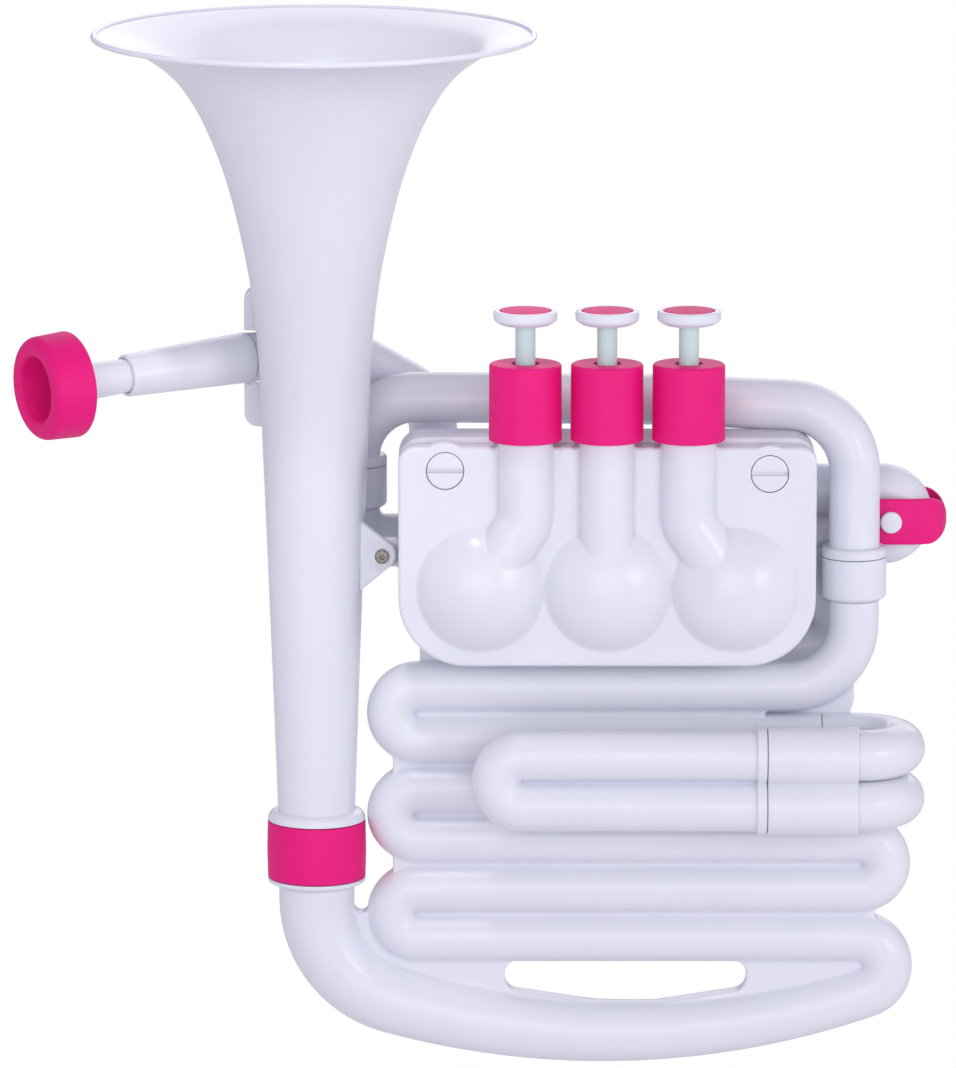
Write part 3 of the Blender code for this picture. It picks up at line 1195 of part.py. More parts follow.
def make_spring(number, x, top):
    """A wound return spring round the stem, with flat end turns."""
    turn_points = 8
    low = SPRING_SEAT_Z + SPRING_WIRE + SEAM
    high = top - SPRING_WIRE - SEAM
    count = round(SPRING_TURNS * turn_points)
    lead = 2.4 * SPRING_WIRE + SEAM
    points = []
    for i in range(count + 1):
        turn = 2 * math.pi * i / turn_points
        done = i / turn_points
        if done < 1:
            height = low + lead * done
        elif done > SPRING_TURNS - 1:
            height = high - lead * (SPRING_TURNS - done)
        else:
            share = (done - 1) / (SPRING_TURNS - 2)
            height = low + lead + (high - low - 2 * lead) * share
        points.append((x + SPRING_RADIUS * math.cos(turn), STEM_Y + SPRING_RADIUS * math.sin(turn), height))
    least = min(
        (Vector(first) - Vector(second)).length - 2 * SPRING_WIRE
        for place, first in enumerate(points)
        for second in points[place + turn_points - 1:]
    )
    print("spring %d: least gap to itself %.2f mm" % (number, least / MM))
    return part("valve_spring_%d" % number, tube("spring", points, SPRING_WIRE, None, 1), SPRING_STEEL)


def make_cap(index):
    """Soft pink cap on a neck, with a hole for the stem and a recess round it."""
    x = STEM_X[index]
    low = CAP_BOTTOM_Z
    high = CAP_TOP_Z
    hole = (STEM_RADIUS + BEARING_GAP) / math.cos(math.pi / 14)
    bore = (GUIDE_RADIUS + SEAM) / math.cos(math.pi / 14)
    profile = [
        (hole, high - 1.2 * MM),
        (hole + 3 * MM, high - 1.2 * MM),
        (hole + 3 * MM, high),
        (CAP_RADIUS - CAP_ROUND * 0.7, high),
        (CAP_RADIUS, high - CAP_ROUND * 0.7),
        (CAP_RADIUS + 0.3 * MM, low),
        (bore, low),
        (bore, high - CAP_CEILING),
        (hole, high - CAP_CEILING),
    ]
    name = "valve_cap_%d" % (index + 1)
    part(name, lathe(name, profile, (x, STEM_Y, 0), steps=14), PINK)


def make_cover_screws():
    """Two coin-slot screws, each turned a quarter to free the cover."""
    for number, (x, z) in enumerate(SCREW_SPOTS, 1):
        name = "cover_screw_%d" % number
        profile = [
            (0, 0),
            (SCREW_HEAD_RADIUS, 0),
            (SCREW_HEAD_RADIUS, -SCREW_HEAD_DEPTH),
            (SCREW_SHANK_RADIUS, -SCREW_HEAD_DEPTH),
            (SCREW_SHANK_RADIUS, -SCREW_LENGTH),
            (0, -SCREW_LENGTH),
        ]
        body = lathe(name, profile, (x, COVER_FACE_Y, z), (0, -1, 0), 18, closed=False)
        reach = SCREW_HEAD_RADIUS * 0.93
        slot_outline = rounded_box(-reach, reach, -SCREW_SLOT / 2, SCREW_SLOT / 2, SCREW_SLOT / 4, SCREW_SLOT / 4)
        slot = plate("slot", slot_outline, COVER_FACE_Y - MM, COVER_FACE_Y + SCREW_HEAD_DEPTH / 2)
        slot.matrix_world = Matrix.Translation((x, 0, z)) @ slot.matrix_world
        cut(body, slot)
        part(name, body, WHITE)


def make_bell_screw():
    """Dark socket-head screw through the bell's tab into the block's lug."""
    face = TAB_BACK_Y - TAB_THICKNESS - SEAM
    tip = TAB_BACK_Y + TAB_THICKNESS / 2
    depth = tip - face
    at = (BELL_SCREW_X, face, BELL_SCREW_Z)
    profile = [(0, BELL_SCREW_HEAD * 0.8), (BELL_SCREW_HEAD, BELL_SCREW_HEAD * 0.8), (BELL_SCREW_HEAD, 0)]
    profile += [(STUD_SHANK, 0), (STUD_SHANK, -depth), (0, -depth)]
    body = lathe("bell_screw", profile, at, (0, -1, 0), 12, closed=False)
    key = rod("key", 1.25 * MM, (at[0], face - 3 * MM, at[2]), (at[0], face - MM, at[2]), 6)
    cut(body, key)
    part("bell_screw", body, STEEL)


def make_strap():
    """Soft finger strap that loops round the third slide's bow, and its two studs."""
    reach = TUBE_RADIUS + SEAM
    outer = THIRD_SLIDE_BOW_X + ROW_BEND + TUBE_RADIUS + STRAP_STAND_OFF
    half_gap = reach + 2.4 * MM + STRAP_THICKNESS
    left = STUD_X - STUD_RADIUS - 2 * MM
    inner_half = half_gap - STRAP_THICKNESS
    chamfer = 6 * MM
    front = REAR_LAYER_Y
    outside = [(left, -half_gap), (outer - chamfer, -half_gap), (outer, -half_gap + chamfer)]
    outside += [(outer, half_gap - chamfer), (outer - chamfer, half_gap), (left, half_gap)]
    slim = STRAP_THICKNESS
    inside = [(left, inner_half), (outer - chamfer - slim * 0.4, inner_half), (outer - slim, inner_half - chamfer + slim * 0.6)]
    inside += [(outer - slim, -inner_half + chamfer - slim * 0.6), (outer - chamfer - slim * 0.4, -inner_half), (left, -inner_half)]
    half_width = STRAP_WIDTH / 2
    strap = plate("strap", outside + inside, -half_width, half_width)
    strap.matrix_world = Matrix.Translation((0, front, THIRD_SLIDE_Z))
    holes = []
    studs = []
    for name, way in (("strap_stud_front", -1), ("strap_stud_back", 1)):
        hole_end = front + way * (half_gap + MM)
        holes.append(drill(STUD_SHANK + SEAM, (STUD_X, front + way * reach / 2, THIRD_SLIDE_Z), (STUD_X, hole_end, THIRD_SLIDE_Z), 12))
        tube_face = math.sqrt(TUBE_RADIUS ** 2 - (ROW_BEND - (STUD_X - THIRD_SLIDE_BOW_X)) ** 2)
        base = tube_face + SEAM
        head_low = half_gap + SEAM
        head_top = head_low + STUD_HEAD
        profile = [(0, head_top), (STUD_RADIUS - 0.5 * MM, head_top), (STUD_RADIUS, head_top - 0.5 * MM)]
        profile += [(STUD_RADIUS, head_low), (STUD_SHANK, head_low), (STUD_SHANK, base), (0, base)]
        stud = lathe(name, profile, (STUD_X, front, THIRD_SLIDE_Z), (0, way, 0), 10, closed=False)
        studs.append(part(name, stud, WHITE))
    cut(strap, *holes)
    strap = part("finger_strap", strap, PINK)
    carry(bpy.data.objects["third_slide"], strap, *studs)


def main():
    """Build the horn."""
    make_bell()
    make_band()
    make_main_tubing()
    make_return_elbows()
    make_slides()
    make_crook()
    make_leadpipe()
    make_mouthpiece()
    make_valve_block()
    make_valve_cover()
    for index in range(len(VALVE_X)):
        make_rotor(index)
        make_plunger(index)
        make_cap(index)
    make_cover_screws()
    make_bell_screw()
    make_strap()
    bpy.context.view_layer.update()


clear_scene()
HORN = make_collection("plastic_horn")
TOOLS = make_collection("cutters")
main()
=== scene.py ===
"""The looks of the plastic horn: its smooth mouldings, soft trims, springs and finishes.

Sizes are in millimetres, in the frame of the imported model, and become metres where a
mesh is made. The horn's front is -Y, and +Z is up.
"""

import logging
import math
from abc import ABC, abstractmethod
from dataclasses import dataclass, field
from enum import Enum
from typing import Mapping, Sequence, Union

import bmesh
import bpy
from mathutils import Matrix, Vector

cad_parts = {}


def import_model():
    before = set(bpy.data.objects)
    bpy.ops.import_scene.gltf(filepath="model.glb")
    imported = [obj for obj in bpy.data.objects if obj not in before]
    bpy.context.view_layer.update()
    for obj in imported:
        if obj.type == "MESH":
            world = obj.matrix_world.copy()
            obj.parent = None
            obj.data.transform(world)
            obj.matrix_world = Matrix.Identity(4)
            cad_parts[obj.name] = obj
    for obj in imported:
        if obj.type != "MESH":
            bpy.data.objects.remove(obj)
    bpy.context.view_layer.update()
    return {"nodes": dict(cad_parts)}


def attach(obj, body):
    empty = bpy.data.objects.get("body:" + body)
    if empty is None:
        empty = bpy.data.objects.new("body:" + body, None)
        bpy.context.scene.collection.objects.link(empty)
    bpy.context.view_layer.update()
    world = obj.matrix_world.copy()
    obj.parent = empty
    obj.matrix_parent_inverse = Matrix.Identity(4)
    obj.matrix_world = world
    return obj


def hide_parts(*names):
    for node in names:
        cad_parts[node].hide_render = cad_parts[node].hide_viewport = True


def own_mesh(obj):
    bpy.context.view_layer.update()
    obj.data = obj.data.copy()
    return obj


LOG = logging.getLogger("plastic_horn")
MM = 0.001
FINE = math.radians(5.0)
QUARTER = math.pi / 2

Outline = list[tuple[float, float]]
Corner = Sequence[float]
Point = Sequence[float]


class Operation(Enum):
    """How one solid acts on another."""

    UNION = "UNION"
    DIFFERENCE = "DIFFERENCE"


class Slot(Enum):
    """The material slots of the record."""

    WHITE = "white_plastic"
    PINK = "pink_plastic"
    MINT = "mint_plastic"
    RUBBER = "seal_rubber"
    STEEL = "screw_steel"
    SPRING = "spring_steel"


# Shader maths


class Signal:
    """A shader socket that Python's arithmetic can work on."""

    def __init__(self, desk: "Desk", socket: bpy.types.NodeSocket) -> None:
        """Wrap a socket of a desk's material."""
        self.desk = desk
        self.socket = socket

    def _maths(self, operation: str, first: "Value", second: "Value") -> "Signal":
        """Add one Math node.

        Args:
            operation: The Math node's operation.
            first: The left operand.
            second: The right operand.

        Returns:
            The node's result.
        """
        node = self.desk.node("ShaderNodeMath", {"operation": operation}, {0: first, 1: second})
        return Signal(self.desk, node.outputs[0])

    def __add__(self, other: "Value") -> "Signal":
        """Sum."""
        return self._maths("ADD", self, other)

    def __radd__(self, other: "Value") -> "Signal":
        """Sum, with the signal on the right."""
        return self._maths("ADD", other, self)

    def __sub__(self, other: "Value") -> "Signal":
        """Difference."""
        return self._maths("SUBTRACT", self, other)

    def __rsub__(self, other: "Value") -> "Signal":
        """Difference, with the signal on the right."""
        return self._maths("SUBTRACT", other, self)

    def __mul__(self, other: "Value") -> "Signal":
        """Product."""
        return self._maths("MULTIPLY", self, other)

    def __rmul__(self, other: "Value") -> "Signal":
        """Product, with the signal on the right."""
        return self._maths("MULTIPLY", other, self)

    def between(self, low: float, high: float) -> "Signal":
        """Share of the way from low to high, kept within 0 and 1.

        Args:
            low: The value that gives 0.
            high: The value that gives 1.

        Returns:
            The share.
        """
        values = {"Value": self, "From Min": low, "From Max": high}
        node = self.desk.node("ShaderNodeMapRange", {"clamp": True}, values)
        return Signal(self.desk, node.outputs["Result"])


Value = Union[Signal, float, Sequence[float]]


class Desk:
    """Where one procedural material is put together."""

    def __init__(self, name: str) -> None:
        """Start a material with its Principled shader."""
        self.material = bpy.data.materials.new(name)
        self.material.use_nodes = True
        self.tree = self.material.node_tree
        self.shader = self.tree.nodes["Principled BSDF"]

    def node(
        self, kind: str, settings: Mapping[str, object], values: Mapping[object, Value]
    ) -> bpy.types.Node:
        """Add a node.

        Args:
            kind: The node's type.
            settings: Properties that are set before its sockets are filled.
            values: What each input socket, by name or place, holds or is linked to.

        Returns:
            The new node.
        """
        made = self.tree.nodes.new(kind)
        for key, setting in settings.items():
            setattr(made, key, setting)
        for key, value in values.items():
            self.feed(made.inputs[key], value)
        return made

    def feed(self, socket: bpy.types.NodeSocket, value: Value) -> None:
        """Link a signal to a socket, or set the socket's own value."""
        if isinstance(value, Signal):
            self.tree.links.new(value.socket, socket)
        else:
            socket.default_value = value

    def place(self) -> Signal:
        """Where a point lies on the piece, in metres."""
        return Signal(self, self.node("ShaderNodeTexCoord", {}, {}).outputs["Object"])

    def noise(self, size: float, detail: float = 2.0, stretch: Point = (1, 1, 1)) -> Signal:
        """Smooth noise fixed to the piece.

        Args:
            size: Size of its patches in millimetres.
            detail: How many finer layers it holds.
            stretch: Scale along each axis.

        Returns:
            Values about 0.5.
        """
        factors = {0: self.place(), 1: tuple(stretch)}
        scaled = self.node("ShaderNodeVectorMath", {"operation": "MULTIPLY"}, factors)
        values = {"Vector": Signal(self, scaled.outputs[0]), "Scale": 1 / (size * MM), "Detail": detail}
        return Signal(self, self.node("ShaderNodeTexNoise", {}, values).outputs[0])

    def edges(self) -> Signal:
        """Values above 0.5 on outer edges and below 0.5 in creases."""
        return Signal(self, self.node("ShaderNodeNewGeometry", {}, {}).outputs["Pointiness"])

    def mix(self, mask: Signal, first: Value, second: Value) -> Signal:
        """Mix two colours.

        Args:
            mask: 0 for the first colour, 1 for the second.
            first: The first colour.
            second: The second colour.

        Returns:
            The mixed colour.
        """
        made = self.node("ShaderNodeMix", {"data_type": "RGBA"}, {})
        places = {socket.identifier: socket for socket in made.inputs}
        self.feed(places["Factor_Float"], mask)
        self.feed(places["A_Color"], first)
        self.feed(places["B_Color"], second)
        return Signal(self, next(out for out in made.outputs if out.identifier == "Result_Color"))

    def bump(self, height: Signal, depth: float) -> Signal:
        """Turn a height into a bumped normal.

        Args:
            height: The height, 0 to 1.
            depth: What a height of 1 stands for, in millimetres.

        Returns:
            The normal.
        """
        node = self.node("ShaderNodeBump", {}, {"Height": height, "Distance": depth * MM, "Strength": 1.0})
        return Signal(self, node.outputs["Normal"])

    def fill(self, **values: Value) -> None:
        """Set or link the shader's sockets, named with _ for each space."""
        for key, value in values.items():
            self.feed(self.shader.inputs[key.replace("_", " ")], value)


@dataclass(frozen=True)
class Finish(ABC):
    """A finish that is made once and shared by its pieces."""

    slot: Slot

    def material(self) -> bpy.types.Material:
        """The finish's material."""
        found = bpy.data.materials.get(self.title())
        return found or self.mixed(Desk(self.title())).material

    def title(self) -> str:
        """The material's name."""
        return "finish_" + self.slot.value

    @abstractmethod
    def mixed(self, desk: Desk) -> Desk:
        """Put the finish together on a desk."""


@dataclass(frozen=True)
class MouldedPlastic(Finish):
    """Glossy injection-moulded plastic with a faint orange peel and painted shade in its creases."""

    colour: tuple[float, float, float] = (0.745, 0.755, 0.82)
    # The second colour is a painted shade, laid into creases in place of the shade that falls there.
    crease_shade: tuple[float, float, float] = (0.52, 0.50, 0.70)
    cooling: tuple[float, float, float] = (0.975, 0.98, 0.995)
    bleed: tuple[float, float, float] = (1.0, 0.9, 1.2)
    roughness: float = 0.22
    shine: float = 0.32
    peel: float = 0.004
    glow: float = 0.08
    glow_reach: float = 0.0022

    def mixed(self, desk: Desk) -> Desk:
        """Put the finish together.

        Args:
            desk: An empty desk.

        Returns:
            The desk.
        """
        clouds = desk.noise(38.0, 2.0)
        peel = desk.noise(1.6, 1.0)
        scuffs = desk.noise(0.5, 3.0)
        edge = desk.edges()
        outer = edge.between(0.52, 0.62)
        # This mask marks the creases, where the painted shade goes.
        inner = edge.between(0.492, 0.43)
        shade = clouds.between(0.3, 0.7)
        cooler = [channel * share for channel, share in zip(self.colour, self.cooling)]
        colour = desk.mix(shade, (*self.colour, 1), (*cooler, 1))
        # Painted shade: creases are darkened towards the lavender shade colour.
        colour = desk.mix(inner * 0.85, colour, (*self.crease_shade, 1))
        rough = self.roughness + 0.04 * (clouds - 0.5) + 0.03 * scuffs.between(0.5, 0.75) + 0.05 * outer
        height = 0.8 * peel + 0.2 * scuffs
        desk.fill(Base_Color=colour, Roughness=rough, Normal=desk.bump(height, self.peel))
        desk.fill(Subsurface_Weight=self.glow, Subsurface_Radius=self.bleed)
        desk.fill(Subsurface_Scale=self.glow_reach, IOR=1.5, Specular_IOR_Level=self.shine)
        return desk


@dataclass(frozen=True)
class SoftPink(Finish):
    """Matt soft-touch plastic with a fine grain and painted shade in its creases."""

    colour: tuple[float, float, float] = (0.77, 0.003, 0.187)
    dusty: tuple[float, float, float] = (0.82, 0.016, 0.24)
    # The darkest colour is a painted shade, laid into creases.
    pink_crease_shade: tuple[float, float, float] = (0.60, 0.002, 0.12)
    roughness: float = 0.5
    shine: float = 0.28
    grain: float = 0.02

    def mixed(self, desk: Desk) -> Desk:
        """Put the finish together.

        Args:
            desk: An empty desk.

        Returns:
            The desk.
        """
        grain = desk.noise(0.35, 2.0)
        clouds = desk.noise(14.0, 3.0)
        edge = desk.edges()
        outer = edge.between(0.52, 0.60)
        inner = edge.between(0.49, 0.42)
        colour = desk.mix(clouds.between(0.35, 0.75) * 0.22, (*self.colour, 1), (*self.dusty, 1))
        colour = desk.mix(outer * 0.3, colour, (*self.dusty, 1))
        # Painted shade: creases are darkened towards the darkest pink.
        colour = desk.mix(inner * 0.7, colour, (*self.pink_crease_shade, 1))
        rough = self.roughness + 0.10 * (clouds - 0.5) + 0.06 * grain
        desk.fill(Base_Color=colour, Roughness=rough, Normal=desk.bump(grain, self.grain))
        desk.fill(Specular_IOR_Level=self.shine, IOR=1.46)
        return desk


@dataclass(frozen=True)
class SealRubber(Finish):
    """Dark sealing rubber."""

    colour: tuple[float, float, float] = (0.03, 0.03, 0.034)
    dusty: tuple[float, float, float] = (0.09, 0.09, 0.10)

    def mixed(self, desk: Desk) -> Desk:
        """Put the finish together.

        Args:
            desk: An empty desk.

        Returns:
            The desk.
        """
        dust = desk.noise(0.8, 3.0)
        colour = desk.mix(dust.between(0.5, 0.8), (*self.colour, 1), (*self.dusty, 1))
        desk.fill(Base_Color=colour, Roughness=0.55 + 0.2 * dust, Normal=desk.bump(dust, 0.02), IOR=1.52)
        return desk


@dataclass(frozen=True)
class DrawnSteel(Finish):
    """Metal with fine marks, dark on the screw and bright on the springs."""

    colour: tuple[float, float, float] = (0.20, 0.18, 0.17)
    roughness: float = 0.34
    wear: float = 2.4

    def mixed(self, desk: Desk) -> Desk:
        """Put the finish together.

        Args:
            desk: An empty desk.

        Returns:
            The desk.
        """
        marks = desk.noise(0.25, 3.0, (1, 4, 1))
        worn = desk.edges().between(0.52, 0.62)
        bright = tuple(min(1.0, channel * self.wear) for channel in self.colour)
        colour = desk.mix(worn, (*self.colour, 1), (*bright, 1))
        rough = self.roughness + 0.16 * (marks - 0.5)
        desk.fill(Base_Color=colour, Roughness=rough, Normal=desk.bump(marks, 0.01), Metallic=1.0)
        return desk


WHITE = MouldedPlastic(Slot.WHITE)
# The mint finish's second colour is its painted crease shade.
MINT = MouldedPlastic(Slot.MINT, (0.56, 0.73, 0.71), (0.40, 0.62, 0.60), roughness=0.33)
PINK = SoftPink(Slot.PINK)
RUBBER = SealRubber(Slot.RUBBER)
STEEL = DrawnSteel(Slot.STEEL)
SPRING = DrawnSteel(Slot.SPRING, (0.52, 0.52, 0.54), 0.28)


# Outlines and paths


def arc(centre: Point, radius: float, start: float, end: float, step: float = FINE) -> Outline:
    """Points along an arc, its two ends included.

    Args:
        centre: The arc's centre.
        radius: Its radius.
        start: The angle it starts at, in radians.
        end: The angle it ends at.
        step: The largest turn between two points.

    Returns:
        The points.
    """
    count = max(2, math.ceil(abs(end - start) / step))
    turns = [start + (end - start) * i / count for i in range(count + 1)]
    return [(centre[0] + radius * math.cos(turn), centre[1] + radius * math.sin(turn)) for turn in turns]


def filleted(corners: Sequence[Corner], closed: bool = True, step: float = 2 * FINE) -> Outline:
    """Round an outline's corners.

    Args:
        corners: Each corner as two coordinates and, where it is rounded, a radius.
        closed: Whether the outline closes on itself.
        step: The largest turn between two points of a rounded corner.

    Returns:
        The outline's points.
    """
    outline: Outline = []
    count = len(corners)
    for index, corner in enumerate(corners):
        here = Vector(corner[:2])
        at_end = not closed and index in (0, count - 1)
        if len(corner) < 3 or at_end:
            outline.append((here.x, here.y))
            continue
        back = (Vector(corners[index - 1][:2]) - here).normalized()
        ahead = (Vector(corners[(index + 1) % count][:2]) - here).normalized()
        opening = back.angle(ahead)
        centre = here + (back + ahead).normalized() * corner[2] / math.sin(opening / 2)
        start = here + back * corner[2] / math.tan(opening / 2) - centre
        side = 1 if back.x * ahead.y - back.y * ahead.x < 0 else -1
        first = math.atan2(start.y, start.x)
        outline += arc(centre, corner[2], first, first + side * (math.pi - opening), step)
    return outline


def rounded_box(left: float, right: float, low: float, high: float, foot: float, head: float) -> Outline:
    """An upright outline with round corners.

    Args:
        left: Its left side.
        right: Its right side.
        low: Its lower side.
        high: Its upper side.
        foot: The radius of its lower corners.
        head: The radius of its upper corners.

    Returns:
        The outline's points.
    """
    corners = [(left, low, foot), (right, low, foot), (right, high, head), (left, high, head)]
    return filleted(corners, step=FINE)


def route(corners: Sequence[Point], bends: Sequence[float], step: float = FINE) -> list[Vector]:
    """Straight runs through corner points, with a round bend at each inner one.

    Args:
        corners: The corner points.
        bends: The bend's radius at each inner corner.
        step: The largest turn between two points.

    Returns:
        The path's points.
    """
    spots = [Vector(corner) for corner in corners]
    points = [spots[0]]
    for before, corner, after, bend in zip(spots, spots[1:], spots[2:], bends):
        back = (before - corner).normalized()
        ahead = (after - corner).normalized()
        turn = math.pi - back.angle(ahead)
        centre = corner + (back + ahead).normalized() * bend / math.cos(turn / 2)
        start = corner + back * bend * math.tan(turn / 2) - centre
        axis = ahead.cross(back)
        count = max(2, math.ceil(turn / step))
        for index in range(count + 1):
            point = centre + Matrix.Rotation(turn * index / count, 3, axis) @ start
            if (point - points[-1]).length > 0.05:
                points.append(point)
    points.append(spots[-1])
    return points


# Solids


def linked(name: str, data: bpy.types.ID) -> bpy.types.Object:
    """Make an object of some data and put it in the scene."""
    made = bpy.data.objects.new(name, data)
    bpy.context.scene.collection.objects.link(made)
    return made


def placed(target: bpy.types.Object, matrix: Matrix) -> bpy.types.Object:
    """Move a mesh to a place that is given in millimetres."""
    target.data.transform(Matrix.Translation(matrix.translation * MM) @ matrix.to_3x3().to_4x4())
    return target


def placing(at: Point, axis: Point = (0, 0, 1)) -> Matrix:
    """The matrix that takes local +Z to an axis and the local origin to a point."""
    return Matrix.Translation(Vector(at)) @ Vector(axis).to_track_quat("Z", "Y").to_matrix().to_4x4()


def solid(
    name: str, points: Sequence[Point], faces: Sequence[Sequence[int]], matrix: Matrix
) -> bpy.types.Object:
    """Make a mesh object with its faces pointing out.

    Args:
        name: The object's name.
        points: Its points in millimetres.
        faces: Its faces, as places in the list of points.
        matrix: Where it goes, in millimetres.

    Returns:
        The object, at the origin, with its place in its mesh.
    """
    mesh = bpy.data.meshes.new(name)
    mesh.from_pydata([tuple((matrix @ Vector(point)) * MM) for point in points], [], faces)
    work = bmesh.new()
    work.from_mesh(mesh)
    bmesh.ops.recalc_face_normals(work, faces=work.faces)
    work.to_mesh(mesh)
    work.free()
    return linked(name, mesh)


def revolved(
    name: str, profile: Outline, at: Point = (0, 0, 0), axis: Point = (0, 0, 1), steps: int = 96,
    closed: bool = True,
) -> bpy.types.Object:
    """Turn a profile about an axis.

    Args:
        name: The object's name.
        profile: The profile as (radius, height).
        at: The point of the axis at height 0.
        axis: The axis's direction.
        steps: How many sides it gets.
        closed: Whether the profile closes on itself, as a ring's does.

    Returns:
        The solid.
    """
    points: list[Point] = []
    rings: list[list[int]] = []
    for radius, height in profile:
        sides = 1 if radius < 1e-6 else steps
        rings.append(list(range(len(points), len(points) + sides)))
        turns = [2 * math.pi * i / steps for i in range(sides)]
        points += [(radius * math.cos(turn), radius * math.sin(turn), height) for turn in turns]
    faces: list[list[int]] = []
    pairs = list(zip(rings, rings[1:]))
    if closed:
        pairs.append((rings[-1], rings[0]))
    for first, second in pairs:
        for i in range(steps):
            j = (i + 1) % steps
            around = [(first, i), (first, j), (second, j), (second, i)]
            face = list(dict.fromkeys(ring[place % len(ring)] for ring, place in around))
            if len(face) > 2:
                faces.append(face)
    return solid(name, points, faces, placing(at, axis))


def turned(
    name: str, corners: Sequence[Corner], at: Point = (0, 0, 0), axis: Point = (0, 0, 1), steps: int = 96
) -> bpy.types.Object:
    """Turn a profile that runs from the axis back to the axis, with its corners rounded.

    Args:
        name: The object's name.
        corners: Radius, height and, where a corner is rounded, how much.
        at: The point of the axis at height 0.
        axis: The axis's direction.
        steps: How many sides it gets.

    Returns:
        The solid.
    """
    return revolved(name, filleted(corners, closed=False), at, axis, steps, False)


def rod(name: str, radius: float, start: Point, end: Point, steps: int = 64) -> bpy.types.Object:
    """A round bar between two points."""
    run = Vector(end) - Vector(start)
    profile = [(0, run.length), (radius, run.length), (radius, 0), (0, 0)]
    return revolved(name, profile, start, run, steps, False)


def swept(
    name: str, points: Sequence[Point], radius: Union[float, Sequence[float]], sides: int = 48
) -> bpy.types.Object:
    """Sweep a circle along a path.

    Args:
        name: The object's name.
        points: The path's points.
        radius: One radius, or one for each point.
        sides: How many sides the circle has.

    Returns:
        The solid, with capped ends.
    """
    path = [Vector(point) for point in points]
    radii = list(radius) if isinstance(radius, (list, tuple)) else [radius] * len(path)
    last = len(path) - 1
    normal = (path[1] - path[0]).orthogonal().normalized()
    rings: list[Point] = []
    for index, point in enumerate(path):
        along = (path[min(index + 1, last)] - path[max(index - 1, 0)]).normalized()
        normal = (normal - along * normal.dot(along)).normalized()
        across = along.cross(normal)
        for side in range(sides):
            turn = 2 * math.pi * side / sides
            rings.append(point + (normal * math.cos(turn) + across * math.sin(turn)) * radii[index])
    faces: list[list[int]] = []
    for low in range(0, last * sides, sides):
        for i in range(sides):
            j = (i + 1) % sides
            faces.append([low + i, low + j, low + sides + j, low + sides + i])
    faces.append(list(range(sides)))
    faces.append([last * sides + i for i in range(sides)])
    return solid(name, rings, faces, Matrix.Identity(4))


def prism(
    name: str, outline: Outline, front: float, back: float, edge: float = 0.0,
    matrix: Matrix = Matrix.Identity(4),
) -> bpy.types.Object:
    """A flat piece with an (x, z) outline between two depths.

    Args:
        name: The object's name.
        outline: Its outline.
        front: The depth of its front face.
        back: The depth of its back face.
        edge: How far its edges are rounded.
        matrix: Where it goes, in millimetres.

    Returns:
        The solid.
    """
    count = len(outline)
    points = [(x, y, z) for y in (front, back) for x, z in outline]
    faces = [list(range(count)), list(range(count, 2 * count))]
    faces += [[i, (i + 1) % count, count + (i + 1) % count, count + i] for i in range(count)]
    made = solid(name, points, faces, matrix)
    if edge:
        bevel = made.modifiers.new("edges", "BEVEL")
        bevel.width = edge * MM
        bevel.segments = 4
        bevel.limit_method = "ANGLE"
        bevel.angle_limit = math.radians(60)
        settled(made)
    return made


def eight(radius: float, spread: float) -> Outline:
    """The outline round two circles that overlap, one above the other.

    Args:
        radius: The circles' radius.
        spread: How far each centre is from the middle.

    Returns:
        The outline's points.
    """
    meet = math.acos(spread / radius)
    upper = arc((0, spread), radius, meet - QUARTER, 3 * QUARTER - meet)
    lower = arc((0, -spread), radius, QUARTER + meet, 5 * QUARTER - meet)
    return upper + lower[1:-1]


def settled(target: bpy.types.Object) -> bpy.types.Object:
    """Take an object's modifiers into its mesh."""
    bpy.context.view_layer.update()
    depsgraph = bpy.context.evaluated_depsgraph_get()
    mesh = bpy.data.meshes.new_from_object(target.evaluated_get(depsgraph))
    target.modifiers.clear()
    target.data = mesh
    return target


def combined(
    target: bpy.types.Object, others: Sequence[bpy.types.Object], operation: Operation
) -> bpy.types.Object:
    """Work solids into a target, one after another.

    Args:
        target: The solid that stays.
        others: The solids that are used up.
        operation: What each does to the target.

    Returns:
        The target.
    """
    for other in others:
        step = target.modifiers.new(other.name, "BOOLEAN")
        step.operation = operation.value
        step.solver = "MANIFOLD"
        step.object = other
        settled(target)
        bpy.data.objects.remove(other, do_unlink=True)
    return target


def joined(target: bpy.types.Object, *others: bpy.types.Object) -> bpy.types.Object:
    """Fuse solids with a target, with a crisp line where they meet."""
    return combined(target, others, Operation.UNION)


def carved(target: bpy.types.Object, *others: bpy.types.Object) -> bpy.types.Object:
    """Take solids away from a target."""
    return combined(target, others, Operation.DIFFERENCE)


def moulded(name: str, parts: Sequence[bpy.types.Object], grain: float, passes: int) -> bpy.types.Object:
    """Fuse solids into one moulding whose creases are softly filled.

    Args:
        name: The object's name.
        parts: The solids that are used up.
        grain: The size of the moulding's facets in millimetres.
        passes: How many times its creases are smoothed.

    Returns:
        The moulding.
    """
    work = bmesh.new()
    for piece in parts:
        work.from_mesh(piece.data)
        bpy.data.objects.remove(piece, do_unlink=True)
    mesh = bpy.data.meshes.new(name)
    work.to_mesh(mesh)
    work.free()
    made = linked(name, mesh)
    remesh = made.modifiers.new("fuse", "REMESH")
    remesh.mode = "VOXEL"
    remesh.voxel_size = grain * MM
    smooth = made.modifiers.new("soften", "SMOOTH")
    smooth.factor = 0.5
    smooth.iterations = passes
    return settled(made)


# Shared sizes


